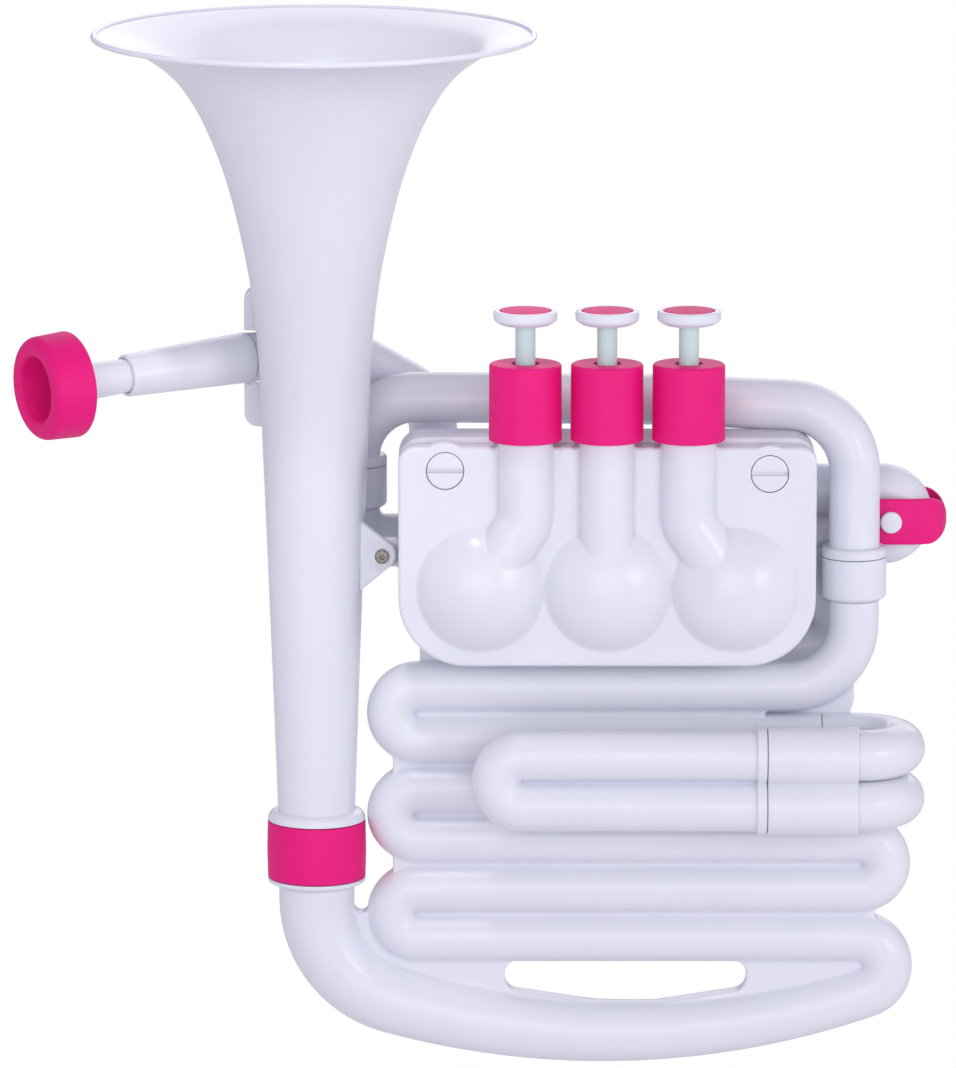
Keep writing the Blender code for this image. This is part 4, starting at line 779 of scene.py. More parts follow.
@dataclass(frozen=True)
class Layout:
    """Sizes that several sub-assemblies share."""

    tube: float = 9.45
    wall: float = 2.0
    seam: float = 0.3
    clearance: float = 0.7
    seal_cord: float = 0.6
    pitch: float = 19.04
    first_row: float = 17.4
    left_bend_x: float = -78.6
    riser_x: float = 84.0
    crook_socket: float = 12.1
    crook_bore: float = 10.15
    crook_depth: float = 16.5
    right_seam_z: float = 162.9
    left_seam: tuple[float, float, float] = (-102.3, 31.0, 192.0)
    rear_joint_x: float = 48.3
    rear_joint_length: float = 23.9
    rear_joint: float = 9.7
    rear_spigot: float = 6.85
    slide_spigot: float = 8.3
    slide_bore: float = 6.4
    slide_socket: float = 10.8
    slide_socket_bore: float = 9.0
    bell_x: float = -116.5
    bell_seat: float = 62.4
    bell_spigot: float = 13.0
    bell_spigot_length: float = 15.5
    band_radius: float = 18.3
    band_height: float = 21.5
    housing_left: float = -85.5
    housing_right: float = 69.0
    housing_low: float = 126.1
    housing_high: float = 209.7
    housing_front: float = -26.0
    housing_split: float = -16.0
    housing_back: float = 5.0
    valve_z: float = 155.2
    valve_x: tuple[float, float, float] = (-55.3, -8.0, 39.0)
    stem_x: tuple[float, float, float] = (-38.6, -8.5, 21.6)
    stem_y: float = -24.0
    stem: float = 3.7
    spring_seat: float = 205.0
    screw_spots: tuple[tuple[float, float], ...] = ((-68.2, 199.9), (51.6, 198.8))
    screw_head: float = 6.8
    screw_depth: float = 3.0
    screw_shank: float = 3.0
    screw_length: float = 17.0
    bell_screw: tuple[float, float] = (-91.7, 164.3)
    pipe_drop: tuple[float, float, float] = (-73.0, 56.0, 212.0)
    pipe_tail_z: float = 190.0
    mouth_face: tuple[float, float, float] = (-216.9, -22.6, 230.2)
    mouth_axis: tuple[float, float, float] = (0.861, 0.507, 0.048)
    sleeve_start: float = 35.0
    sleeve_end: float = 87.0
    rear_layer_y: float = 25.0
    port_bend: float = 12.0

    @property
    def bend(self) -> float:
        """The radius of a bend from one row to the next."""
        return self.pitch / 2

    def row_z(self, row: float) -> float:
        """Height of a row's axis, counted from the lowest row."""
        return self.first_row + row * self.pitch

    def mouth_point(self, distance: float) -> Vector:
        """A point on the mouthpiece's axis, measured from its rim."""
        return Vector(self.mouth_face) + Vector(self.mouth_axis).normalized() * distance


LAYOUT = Layout()


@dataclass(frozen=True)
class SlideLine:
    """One U-shaped slide: where its bow lies, where its legs point and how long they are."""

    node: str
    bow: tuple[float, float, float]
    heading: float
    leg: float
    spigot: float
    socket: float
    sealed: bool = False

    def matrix(self) -> Matrix:
        """The slide's place: local +X runs along its legs."""
        return Matrix.Translation(self.bow) @ Matrix.Rotation(math.radians(self.heading), 4, "Z")

    def socket_start(self) -> float:
        """How far the socket's seam is from the bow."""
        return self.leg + LAYOUT.seam


MAIN_SLIDE = SlideLine("main_slide", (-39.5, -31.0, LAYOUT.row_z(3.5)), 0, 90.5, 29.0, 33.6, True)
FIRST_SLIDE = SlideLine("first_slide", (68.5, 25.0, 133.5), 180, 32.5, 21.0, 24.0)
SECOND_SLIDE = SlideLine("second_slide", (-30.5, 36.0, 174.9), -90, 7.0, 21.0, 24.0)
THIRD_SLIDE = SlideLine("third_slide", (95.4, 25.0, 174.2), 180, 36.4, 21.0, 24.0)


# Sub-assemblies


@dataclass
class Piece:
    """A finished mesh and where it belongs."""

    mesh: bpy.types.Object
    finish: Finish
    body: str
    nodes: tuple[str, ...]
    crisp: float = 48.0

    def hang(self) -> None:
        """Dress the piece and hang it on its body in place of its nodes."""
        data = self.mesh.data
        data.materials.clear()
        data.materials.append(self.finish.material())
        data.shade_smooth()
        data.set_sharp_from_angle(angle=math.radians(self.crisp))
        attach(self.mesh, self.body)
        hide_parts(*self.nodes)
        LOG.info("%s: %d faces on %s", self.mesh.name, len(data.polygons), self.body)


@dataclass
class Assembly(ABC):
    """A sub-assembly of the horn."""

    pieces: list[Piece] = field(default_factory=list, init=False)

    @abstractmethod
    def build(self) -> None:
        """Make the sub-assembly's meshes."""

    def keep(self, mesh: bpy.types.Object, finish: Finish, *nodes: str, body: str = "horn") -> None:
        """List a mesh as a finished piece.

        Args:
            mesh: The mesh.
            finish: Its finish.
            nodes: The nodes that it stands for.
            body: The body that it moves with.
        """
        plastic = finish.slot in (Slot.WHITE, Slot.PINK, Slot.MINT)
        mesh.name = nodes[0] + ("_moulding" if plastic else "_part")
        self.pieces.append(Piece(mesh, finish, body, nodes))

    def seal_ring(self, node: str, spigot: float, matrix: Matrix, body: str = "horn") -> None:
        """Make a round sealing ring about local +Z.

        Args:
            node: The node that it stands for.
            spigot: The spigot's radius.
            matrix: Where the ring's centre and axis are.
            body: The body that it moves with.
        """
        cord = LAYOUT.seal_cord
        middle = spigot + LAYOUT.clearance - LAYOUT.seam - cord
        ring = revolved(node, arc((middle, 0), cord, 0, 2 * math.pi, math.radians(20))[:-1])
        self.keep(placed(ring, matrix), RUBBER, node, body=body)

    def groove(self, spigot: float, matrix: Matrix) -> bpy.types.Object:
        """The cutter for a sealing ring's groove about local +Z.

        Args:
            spigot: The spigot's radius.
            matrix: Where the ring's centre and axis are.

        Returns:
            The cutter.
        """
        cord = LAYOUT.seal_cord
        floor = spigot + LAYOUT.clearance - 2 * LAYOUT.seam - 2 * cord
        half = cord + LAYOUT.seam
        outline = [(spigot + 1, half), (spigot + 1, -half), (floor, -half), (floor, half)]
        return placed(revolved("groove", outline), matrix)

    def dress(self) -> None:
        """Give each piece its finish and its place on the frame."""
        for piece in self.pieces:
            piece.hang()


@dataclass
class Bell(Assembly):
    """Flared bell with its rolled rim, joint, screw tab and leadpipe plate."""

    stations: tuple[tuple[float, float], ...] = (
        (357.2, 81.8), (353.5, 67.5), (348.5, 58.5), (342.4, 51.5), (334.7, 45.7), (323.4, 39.75),
        (306.0, 33.1), (284.0, 27.45), (262.0, 23.4), (240.0, 21.15), (203.0, 19.5), (150.0, 17.4),
        (108.0, 15.85), (66.4, 14.4),
    )
    steps: int = 160
    wall: float = 1.8
    bead: float = 1.1
    collar: float = 4.0
    tab_back: float = -2.0
    tab_thickness: float = 5.0
    tab_half: float = 13.5
    tab_reach: float = 16.5
    boss: float = 5.2
    screw_hole: float = 2.1
    wing_left: float = -143.3
    wing_low: float = 208.2
    wing_high: float = 261.0
    wing_front: float = 20.0
    wing_back: float = 26.0
    wing_corner: float = 5.0
    pipe_hole: float = 10.5
    air: float = 0.05
    hollow_high: float = 284.0
    strides: int = 6

    def flare(self) -> list[tuple[float, float, float]]:
        """Radius, height and slope of the outer wall, from the rim down to the collar."""
        spots = self.stations
        slopes = [(low[1] - high[1]) / (low[0] - high[0]) for high, low in zip(spots, spots[1:])]
        ends = [slopes[0] * 1.4] + [(above + below) / 2 for above, below in zip(slopes, slopes[1:])]
        ends.append(slopes[-1])
        wall = []
        for index, ((high, wide), (low, slim)) in enumerate(zip(spots, spots[1:])):
            run = low - high
            for step in range(self.strides):
                t = step / self.strides
                u = 1 - t
                radius = wide * (1 + 2 * t) * u * u + slim * (3 - 2 * t) * t * t
                radius += run * (ends[index] * t * u * u - ends[index + 1] * t * t * u)
                slope = 6 * t * u * (slim - wide) / run
                slope += ends[index] * u * (1 - 3 * t) + ends[index + 1] * t * (3 * t - 2)
                wall.append((radius, high + run * t, math.atan(slope)))
        wall.append((spots[-1][1], spots[-1][0], math.atan(ends[-1])))
        return wall

    def inner(self, thickness: float) -> Outline:
        """The inner wall from the rim down, at a distance from the outer one."""
        thin = thickness
        return [(r - thin * math.cos(turn), z + thin * math.sin(turn)) for r, z, turn in self.flare()]

    def shell(self) -> bpy.types.Object:
        """The turned bell, open at both ends."""
        wall = self.flare()
        rim, rim_z, _ = wall[0]
        seat = LAYOUT.bell_seat
        tip = seat - LAYOUT.bell_spigot_length
        bore = LAYOUT.bell_spigot - LAYOUT.wall
        bead_at = (rim - self.bead * 0.6, rim_z + self.wall / 2)
        profile = arc(bead_at, self.bead, math.radians(170), math.radians(-70), 3 * FINE)
        profile += [(radius, height) for radius, height, _ in wall[1:]]
        joint = [
            wall[-1][:2],
            (wall[-1][0] + 0.1, seat + self.collar - 0.1, 0.6),
            (LAYOUT.band_radius - 0.3, seat + self.collar - 0.5, 3.0),
            (LAYOUT.band_radius, seat + 0.3, 0.3),
            (LAYOUT.bell_spigot, seat + LAYOUT.seam),
            (LAYOUT.bell_spigot, tip, 0.6),
            (bore, tip),
        ]
        profile += filleted(joint, closed=False)[1:]
        profile += reversed(self.inner(self.wall)[1:])
        return revolved("bell", profile, (LAYOUT.bell_x, 0, 0), steps=self.steps)

    def tab(self) -> bpy.types.Object:
        """The tab that the bell's screw goes through."""
        x, z = LAYOUT.bell_screw
        base = LAYOUT.bell_x + self.tab_reach
        front = self.tab_back - self.tab_thickness
        round_end = arc((x, z), self.boss, -math.radians(62), math.radians(62))
        outline = [(base, z - self.tab_half), *round_end, (base, z + self.tab_half)]
        tab = prism("tab", outline, front, self.tab_back, 0.8)
        return joined(tab, rod("ring", self.boss - 0.6, (x, front - 0.5, z), (x, front + 1, z)))

    def wing(self) -> bpy.types.Object:
        """The upright plate that the leadpipe passes through."""
        round_end = self.wing_corner
        right = LAYOUT.bell_x - 3
        outline = rounded_box(self.wing_left, right, self.wing_low, self.wing_high, round_end, round_end)
        return prism("wing", outline, self.wing_front, self.wing_back, 0.9)

    def build(self) -> None:
        """Make the bell and its sealing ring."""
        shell = joined(self.shell(), self.tab(), self.wing())
        x, z = LAYOUT.bell_screw
        front = self.tab_back - self.tab_thickness
        hole = rod("hole", self.screw_hole, (x, front - 1, z), (x, self.tab_back + 1, z))
        near, far = (LAYOUT.mouth_point(LAYOUT.sleeve_end + reach) for reach in (-20, 22))
        pipe = rod("pipe", self.pipe_hole, near, far)
        inside = [spot for spot in reversed(self.inner(self.wall + self.air)) if spot[1] < self.hollow_high]
        inside += [(0, inside[-1][1]), (0, inside[0][1])]
        hollow = revolved("hollow", inside, (LAYOUT.bell_x, 0, 0), steps=self.steps)
        groove_at = placing((LAYOUT.bell_x, 0, LAYOUT.bell_seat - LAYOUT.bell_spigot_length / 2))
        carved(shell, hole, pipe, hollow, self.groove(LAYOUT.bell_spigot, groove_at))
        self.keep(shell, WHITE, "bell")
        self.seal_ring("bell_seal", LAYOUT.bell_spigot, groove_at)


@dataclass
class BellBand(Assembly):
    """Soft band round the bell's joint, its embossed place left bare."""

    inner: float = 16.7
    swell: float = 0.25
    edge: float = 0.5

    def build(self) -> None:
        """Make the band."""
        high = LAYOUT.bell_seat
        low = high - LAYOUT.band_height
        outer = LAYOUT.band_radius
        corners = [(self.inner, high), (outer, high, self.edge), (outer + self.swell, (high + low) / 2, 60.0)]
        corners += [(outer, low, self.edge), (self.inner, low)]
        band = revolved("band", filleted(corners), (LAYOUT.bell_x, 0, 0), steps=128)
        self.keep(band, PINK, "bell_band")


@dataclass
class MainTubing(Assembly):
    """Six stacked rows with their bends and webs, the hand grip and the bottom bow."""

    row_web: float = 8.4
    top_row_lift: float = 0.8
    grip_web: float = 8.0
    grip_height: float = 14.8
    grip_corner: float = 5.3
    grip_left: float = -46.0
    grip_right: float = 44.6
    slot_rise: float = 2.15
    slot_sag: float = 7.0
    notch_left: float = -102.5
    notch_right: float = -97.0
    notch_z: float = 27.2
    right_trim: float = 0.7
    bow_radius: float = 294.5
    bow_low_x: float = -3.65
    bow_middle_tube: float = 11.6
    bow_end_bend: float = 10.85
    heel_radius: float = 39.5
    heel_tube: float = 14.25
    riser_bend: float = 24.0
    socket_foot: float = 25.0
    bell_socket: float = 16.4
    bell_bore: float = 13.7
    grain: float = 0.6
    passes: int = 2

    def bow_circles(self) -> tuple[tuple[float, float], tuple[float, float], tuple[float, float]]:
        """Centres of the bottom bow, its end bend and its heel."""
        bow = (self.bow_low_x, -self.grip_height / 2 - self.bow_middle_tube + self.bow_radius)
        end_z = LAYOUT.row_z(0) - self.bow_end_bend
        end_reach = math.sqrt((self.bow_radius - self.bow_end_bend) ** 2 - (bow[1] - end_z) ** 2)
        heel_x = LAYOUT.bell_x + self.heel_radius
        heel_drop = math.sqrt((self.bow_radius - self.heel_radius) ** 2 - (heel_x - bow[0]) ** 2)
        return bow, (bow[0] + end_reach, end_z), (heel_x, bow[1] - heel_drop)

    def right_bend_x(self) -> float:
        """Where the rows start to bend at the right."""
        return self.bow_circles()[1][0] + self.bow_end_bend - LAYOUT.bend

    def bow_path(self) -> list[Vector]:
        """From the end of the lowest row round the bottom bow to the bell's socket."""
        bow, end, heel = self.bow_circles()
        end_turn = math.atan2(end[1] - bow[1], end[0] - bow[0])
        heel_turn = math.atan2(heel[1] - bow[1], heel[0] - bow[0])
        spots = arc(end, self.bow_end_bend, QUARTER, end_turn)
        spots += arc(bow, self.bow_radius, end_turn, heel_turn, FINE / 4)[1:]
        spots += arc(heel, self.heel_radius, heel_turn, -math.pi)[1:]
        spots.append((LAYOUT.bell_x, LAYOUT.bell_seat - self.socket_foot + 3))
        return [Vector((x, 0, z)) for x, z in spots]

    def lower_tube(self) -> bpy.types.Object:
        """The tubing from the lower rear joint to the bell's socket."""
        left = LAYOUT.left_bend_x - LAYOUT.bend
        right = self.right_bend_x() + LAYOUT.bend - self.right_trim
        z = [LAYOUT.row_z(row) for row in range(4)]
        corners = [(LAYOUT.rear_joint_x + 1, 0, z[3]), (left, 0, z[3]), (left, 0, z[2]), (right, 0, z[2])]
        corners += [(right, 0, z[1]), (left, 0, z[1]), (left, 0, z[0])]
        bow = self.bow_path()
        rows = route(corners + [bow[0]], [LAYOUT.bend] * 6)[:-1]
        lengths = [0.0]
        for before, after in zip(bow, bow[1:]):
            lengths.append(lengths[-1] + (after - before).length)
        growth = self.heel_tube - LAYOUT.tube
        radii = [LAYOUT.tube] * len(rows)
        radii += [LAYOUT.tube + growth * length / lengths[-1] for length in lengths]
        return swept("lower", rows + bow, radii)

    def upper_tube(self) -> bpy.types.Object:
        """The tubing from the crook's joint to the upper rear joint."""
        left = LAYOUT.left_bend_x - LAYOUT.bend
        top = LAYOUT.right_seam_z - LAYOUT.crook_depth + 2
        high = LAYOUT.row_z(5) + self.top_row_lift
        bend = LAYOUT.bend + self.top_row_lift / 2
        corners = [(LAYOUT.riser_x, 0, top), (LAYOUT.riser_x, 0, high), (left, 0, high)]
        corners += [(left, 0, LAYOUT.row_z(4)), (LAYOUT.rear_joint_x + 1, 0, LAYOUT.row_z(4))]
        return swept("upper", route(corners, [self.riser_bend, bend, bend]), LAYOUT.tube)

    def webs(self) -> list[bpy.types.Object]:
        """The web between the rows and the one that holds the grip's slot."""
        reach = LAYOUT.tube * 0.98
        left = LAYOUT.left_bend_x - reach
        right = self.right_bend_x() + reach * 0.55
        middle = LAYOUT.rear_joint_x + 3
        low, split, high = LAYOUT.row_z(0), LAYOUT.row_z(2), LAYOUT.row_z(5)
        stacked = [(left, low), (right, low), (right, split), (middle, split), (middle, high), (left, high)]
        rows = prism("row_web", stacked, -self.row_web / 2, self.row_web / 2)
        heel_top = self.bow_circles()[2][1]
        edge = [(point.x, point.z) for point in self.bow_path()]
        grip = [spot for spot in edge if spot[1] < heel_top + LAYOUT.seam and spot[0] < right]
        corner = LAYOUT.left_bend_x - LAYOUT.tube
        grip += [(corner, heel_top), (corner, low), (right, low)]
        web = prism("grip_web", grip, -self.grip_web / 2, self.grip_web / 2)
        top = LAYOUT.row_z(0) - LAYOUT.tube + 1
        round_end = self.grip_corner
        foot = top - self.slot_rise * round_end
        left = self.grip_left
        slot = [(left, top, round_end), (left, foot, round_end), (0, foot - self.slot_sag)]
        slot += [(self.grip_right, foot, round_end), (self.grip_right, top, round_end)]
        notch = rounded_box(self.notch_left, self.notch_right, self.notch_z, heel_top + 9, 2.7, 1)
        for hole in (filleted(slot, step=FINE), notch):
            carved(web, prism("hole", hole, -self.grip_web, self.grip_web))
        foot = LAYOUT.row_z(4) + 8
        gusset = [(middle, foot), (82.4, foot, 1.5), (84.6, foot + 6, 6.0), (84.2, high + 16)]
        gusset.append((middle, high + 2))
        return [rows, web, prism("gusset", filleted(gusset), 0.5, 7.5)]

    def sockets(self) -> list[bpy.types.Object]:
        """The crisp sockets for the crook, the bell and the rear elbows."""
        seat = LAYOUT.bell_seat
        foot = seat - self.socket_foot
        ledge = seat - LAYOUT.band_height - LAYOUT.seam
        heel = self.heel_tube
        wide = LAYOUT.band_radius
        bell = [(0, seat), (self.bell_socket, seat, 0.3), (self.bell_socket, ledge), (wide, ledge, 0.3)]
        bell += [(wide, ledge - 1.4, 1.2), (heel - 0.3, foot, 1.5), (heel - 0.6, foot - 3), (0, foot - 3)]
        made = [turned("bell_socket", bell, (LAYOUT.bell_x, 0, 0), steps=128)]
        made.append(crook_socket((LAYOUT.riser_x, 0, LAYOUT.right_seam_z)))
        length = LAYOUT.rear_joint_length
        joint = [(0, length), (LAYOUT.rear_joint, length, 0.3), (LAYOUT.rear_joint, 0), (0, 0)]
        for row in (3, 4):
            made.append(turned("joint", joint, (LAYOUT.rear_joint_x, 0, LAYOUT.row_z(row)), (1, 0, 0)))
        return made

    def bores(self) -> list[bpy.types.Object]:
        """The cutters for the sockets' bores and for the tube below the bell."""
        seat = LAYOUT.bell_seat
        floor = seat - LAYOUT.bell_spigot_length - LAYOUT.seam
        cutters = [rod("bore", self.bell_bore, (LAYOUT.bell_x, 0, floor), (LAYOUT.bell_x, 0, seat + 1))]
        way = [Vector((LAYOUT.bell_x, 0, floor + 1))] + list(reversed(self.bow_path()[-17:]))
        cutters.append(swept("throat", way, LAYOUT.bell_spigot - LAYOUT.wall))
        x, z = LAYOUT.riser_x, LAYOUT.right_seam_z
        low = z - LAYOUT.crook_depth + LAYOUT.seam
        cutters.append(rod("bore", LAYOUT.crook_bore, (x, 0, low), (x, 0, z + 1)))
        cutters.append(rod("way", LAYOUT.tube - LAYOUT.wall, (x, 0, low - 18), (x, 0, low + 1)))
        end = LAYOUT.rear_joint_x + LAYOUT.rear_joint_length
        wide = LAYOUT.rear_spigot + LAYOUT.clearance
        for row in (3, 4):
            z = LAYOUT.row_z(row)
            cutters.append(rod("bore", wide, (end - 20, 0, z), (end + 1, 0, z)))
        return cutters

    def build(self) -> None:
        """Make the main tubing."""
        parts = [self.lower_tube(), self.upper_tube(), *self.webs()]
        body = moulded("tubing", parts, self.grain, self.passes)
        joined(body, *self.sockets())
        carved(body, *self.bores())
        self.keep(body, WHITE, "main_tubing")


def crook_socket(seam: Point) -> bpy.types.Object:
    """An upright socket for the crook, its mouth at a seam.

    Args:
        seam: The middle of the socket's mouth.

    Returns:
        The solid.
    """
    wide = LAYOUT.crook_socket
    low = -LAYOUT.crook_depth
    tube = LAYOUT.tube
    profile = [(0, 0), (wide, 0, 0.35), (wide, low + 1.8, 1.4), (tube - 0.1, low, 0.8)]
    profile += [(tube - 0.3, low - 2), (0, low - 2)]
    return turned("crook_socket", profile, seam)


@dataclass
class ReturnElbows(Assembly):
    """One moulding that carries two rows forward to the tuning slide's sockets."""

    collar: float = 11.2
    wall: float = 1.8

    def build(self) -> None:
        """Make the elbows."""
        seam = LAYOUT.seam
        joint_end = LAYOUT.rear_joint_x + LAYOUT.rear_joint_length + seam
        collar_end = joint_end + self.collar
        front_y = MAIN_SLIDE.bow[1]
        start = MAIN_SLIDE.bow[0] + MAIN_SLIDE.socket_start()
        end = start + MAIN_SLIDE.socket
        turn = abs(front_y) / 2
        corner = max(collar_end, end) + turn + 0.5
        middle = Matrix.Translation((0, front_y, LAYOUT.row_z(3.5)))
        middle @= Matrix.Rotation(-QUARTER, 4, "Z")
        socket = prism("socket", eight(LAYOUT.slide_socket, LAYOUT.bend), start, end, 0.35, middle)
        wide = LAYOUT.rear_joint
        ring = [(0, self.collar), (wide, self.collar, 0.25), (wide, 0, 0.3), (0, 0)]
        slide_bore = LAYOUT.slide_socket_bore
        solids = []
        cutters = []
        for row in (4, 3):
            z = LAYOUT.row_z(row)
            way = [(collar_end - 1, 0, z), (corner, 0, z), (corner, front_y, z), (end - 3, front_y, z)]
            solids.append(swept("elbow", route(way, [turn, turn]), LAYOUT.tube, 64))
            solids.append(turned("collar", ring, (joint_end, 0, z), (1, 0, 0)))
            spigot_start = (LAYOUT.rear_joint_x + 3, 0, z)
            solids.append(rod("spigot", LAYOUT.rear_spigot, spigot_start, (joint_end + 1, 0, z)))
            way[0] = (LAYOUT.rear_joint_x, 0, z)
            cutters.append(swept("bore", route(way, [turn, turn]), LAYOUT.rear_spigot - self.wall, 32))
            cutters.append(rod("bore", slide_bore, (start - 1, front_y, z), (end - 2, front_y, z)))
        joined(socket, *solids)
        carved(socket, *cutters)
        self.keep(socket, WHITE, "return_elbows")


@dataclass
class Slide(Assembly):
    """A U-shaped slide with its web, collar and spigots."""

    line: SlideLine = MAIN_SLIDE
    collar: float = 3.7
    collar_step: float = 1.1
    web: float = 5.0
    grain: float = 0.5
    passes: int = 2

    def moulding(self) -> bpy.types.Object:
        """The slide's two legs and bow, with the web between them."""
        half = LAYOUT.bend
        leg = self.line.leg
        way = [(leg - 1, 0, half), (-half, 0, half), (-half, 0, -half), (leg - 1, 0, -half)]
        parts = [swept("legs", route(way, [half, half]), LAYOUT.tube, 64)]
        if leg > 3 * self.collar:
            outline = [(0, -half), (leg - 1, -half), (leg - 1, half), (0, half)]
            parts.append(prism("web", outline, -self.web / 2, self.web / 2))
        return moulded("slide", parts, self.grain, self.passes)

    def build(self) -> None:
        """Make the slide and its sealing rings."""
        half = LAYOUT.bend
        leg = self.line.leg
        tip = leg + self.line.spigot
        wide = LAYOUT.slide_spigot
        matrix = self.line.matrix()
        ring = Matrix.Rotation(-QUARTER, 4, "Z")
        outline = eight(LAYOUT.tube + self.collar_step, half)
        body = joined(self.moulding(), prism("collar", outline, leg - self.collar, leg, 0.4, ring))
        way = [(tip + 1, 0, half), (-half, 0, half), (-half, 0, -half), (tip + 1, 0, -half)]
        cutters = [swept("bore", route(way, [half, half]), LAYOUT.slide_bore, 32)]
        seats = []
        profile = [(0, tip), (wide, tip, 0.7), (wide, leg - 2), (0, leg - 2)]
        for z in (half, -half):
            joined(body, turned("spigot", profile, (0, 0, z), (1, 0, 0)))
            seat = placing((tip - 4, 0, z), (1, 0, 0))
            if self.line.sealed:
                cutters.append(self.groove(wide, seat))
                seats.append(matrix @ seat)
        carved(body, *cutters)
        self.keep(placed(body, matrix), WHITE, self.line.node, body=self.line.node)
        for side, seat in zip(("upper", "lower"), seats):
            self.seal_ring(self.line.node + "_seal_" + side, wide, seat, self.line.node)


@dataclass
class TopCrook(Assembly):
    """The tube over the top, from the housing's socket to the riser."""

    height_left: float = 217.7
    height_right: float = 218.8
    middle: tuple[float, float, float] = (12.0, 14.5, 219.6)
    bend_left: float = 23.7
    bend_right: float = 24.0
    collar: float = 4.0

    def build(self) -> None:
        """Make the crook and its sealing rings."""
        x, y, seam = LAYOUT.left_seam
        depth = LAYOUT.crook_depth - 2 * LAYOUT.seam
        right = LAYOUT.right_seam_z
        way = [(x, y, seam - depth), (x, y, self.height_left), self.middle]
        way += [(LAYOUT.riser_x, 0, self.height_right), (LAYOUT.riser_x, 0, right - depth)]
        path = route(way, [self.bend_left, 300.0, self.bend_right], FINE / 2)
        body = swept("crook", path, LAYOUT.tube, 80)
        wide = LAYOUT.crook_socket
        high = self.collar
        profile = [(5, high + 1.2), (LAYOUT.tube - 0.05, high + 1.2), (LAYOUT.tube, high, 0.7)]
        profile += [(wide - 0.8, high, 0.7), (wide, high - 1, 0.6)]
        profile += [(wide, LAYOUT.seam, 0.3), (5, LAYOUT.seam)]
        cutters = []
        for side, spot in (("left", (x, y, seam)), ("right", (LAYOUT.riser_x, 0, right))):
            joined(body, revolved("collar", filleted(profile), spot))
            seat = placing((spot[0], spot[1], spot[2] - LAYOUT.crook_depth / 2))
            cutters.append(self.groove(LAYOUT.tube, seat))
            self.seal_ring("crook_seal_" + side, LAYOUT.tube, seat)
        path[0].z -= 1
        path[-1].z -= 1
        carved(body, swept("bore", path, LAYOUT.tube - LAYOUT.wall, 32), *cutters)
        self.keep(body, WHITE, "top_crook")


@dataclass
class Leadpipe(Assembly):
    """Receiver sleeve and the pipe behind the bell down to the housing."""

    tip: float = 7.8
    sleeve: float = 9.5
    groove: float = 0.8
    pipe: float = 9.1
    turn: tuple[float, float, float] = (-108.0, 41.5, 234.2)
    bends: tuple[float, float, float] = (40.0, 20.0, 10.5)
    shank: float = 6.3
    shank_depth: float = 22.0

    def build(self) -> None:
        """Make the leadpipe."""
        length = LAYOUT.sleeve_end - LAYOUT.sleeve_start
        edge = length - self.groove
        neck = self.pipe - 0.6
        profile = [(0, length), (neck, length), (neck, edge), (self.sleeve, edge, 0.3)]
        profile += [(self.tip, 0, 0.7), (0, 0)]
        body = turned("leadpipe", profile, LAYOUT.mouth_point(LAYOUT.sleeve_start), LAYOUT.mouth_axis)
        drop = LAYOUT.pipe_drop
        way = [LAYOUT.mouth_point(LAYOUT.sleeve_end), self.turn, drop, (drop[0], drop[1], LAYOUT.pipe_tail_z)]
        way.append((drop[0], LAYOUT.housing_back + 3, LAYOUT.pipe_tail_z))
        joined(body, swept("pipe", route(way, self.bends, FINE / 2), self.pipe, 72))
        near, far = (LAYOUT.mouth_point(LAYOUT.sleeve_end + reach) for reach in (-4, 2))
        joined(body, rod("inside", self.sleeve - 1.2, near, far))
        way[0] = LAYOUT.mouth_point(LAYOUT.sleeve_start + self.shank_depth - 2)
        way[-1] = (drop[0], LAYOUT.housing_back + 1, LAYOUT.pipe_tail_z)
        bore = swept("bore", route(way, self.bends), self.shank - 1, 32)
        end = LAYOUT.mouth_point(LAYOUT.sleeve_start + self.shank_depth + LAYOUT.seam)
        receiver = rod("receiver", self.shank + LAYOUT.seam, LAYOUT.mouth_point(LAYOUT.sleeve_start - 1), end)
        carved(body, bore, receiver)
        self.keep(body, WHITE, "leadpipe")


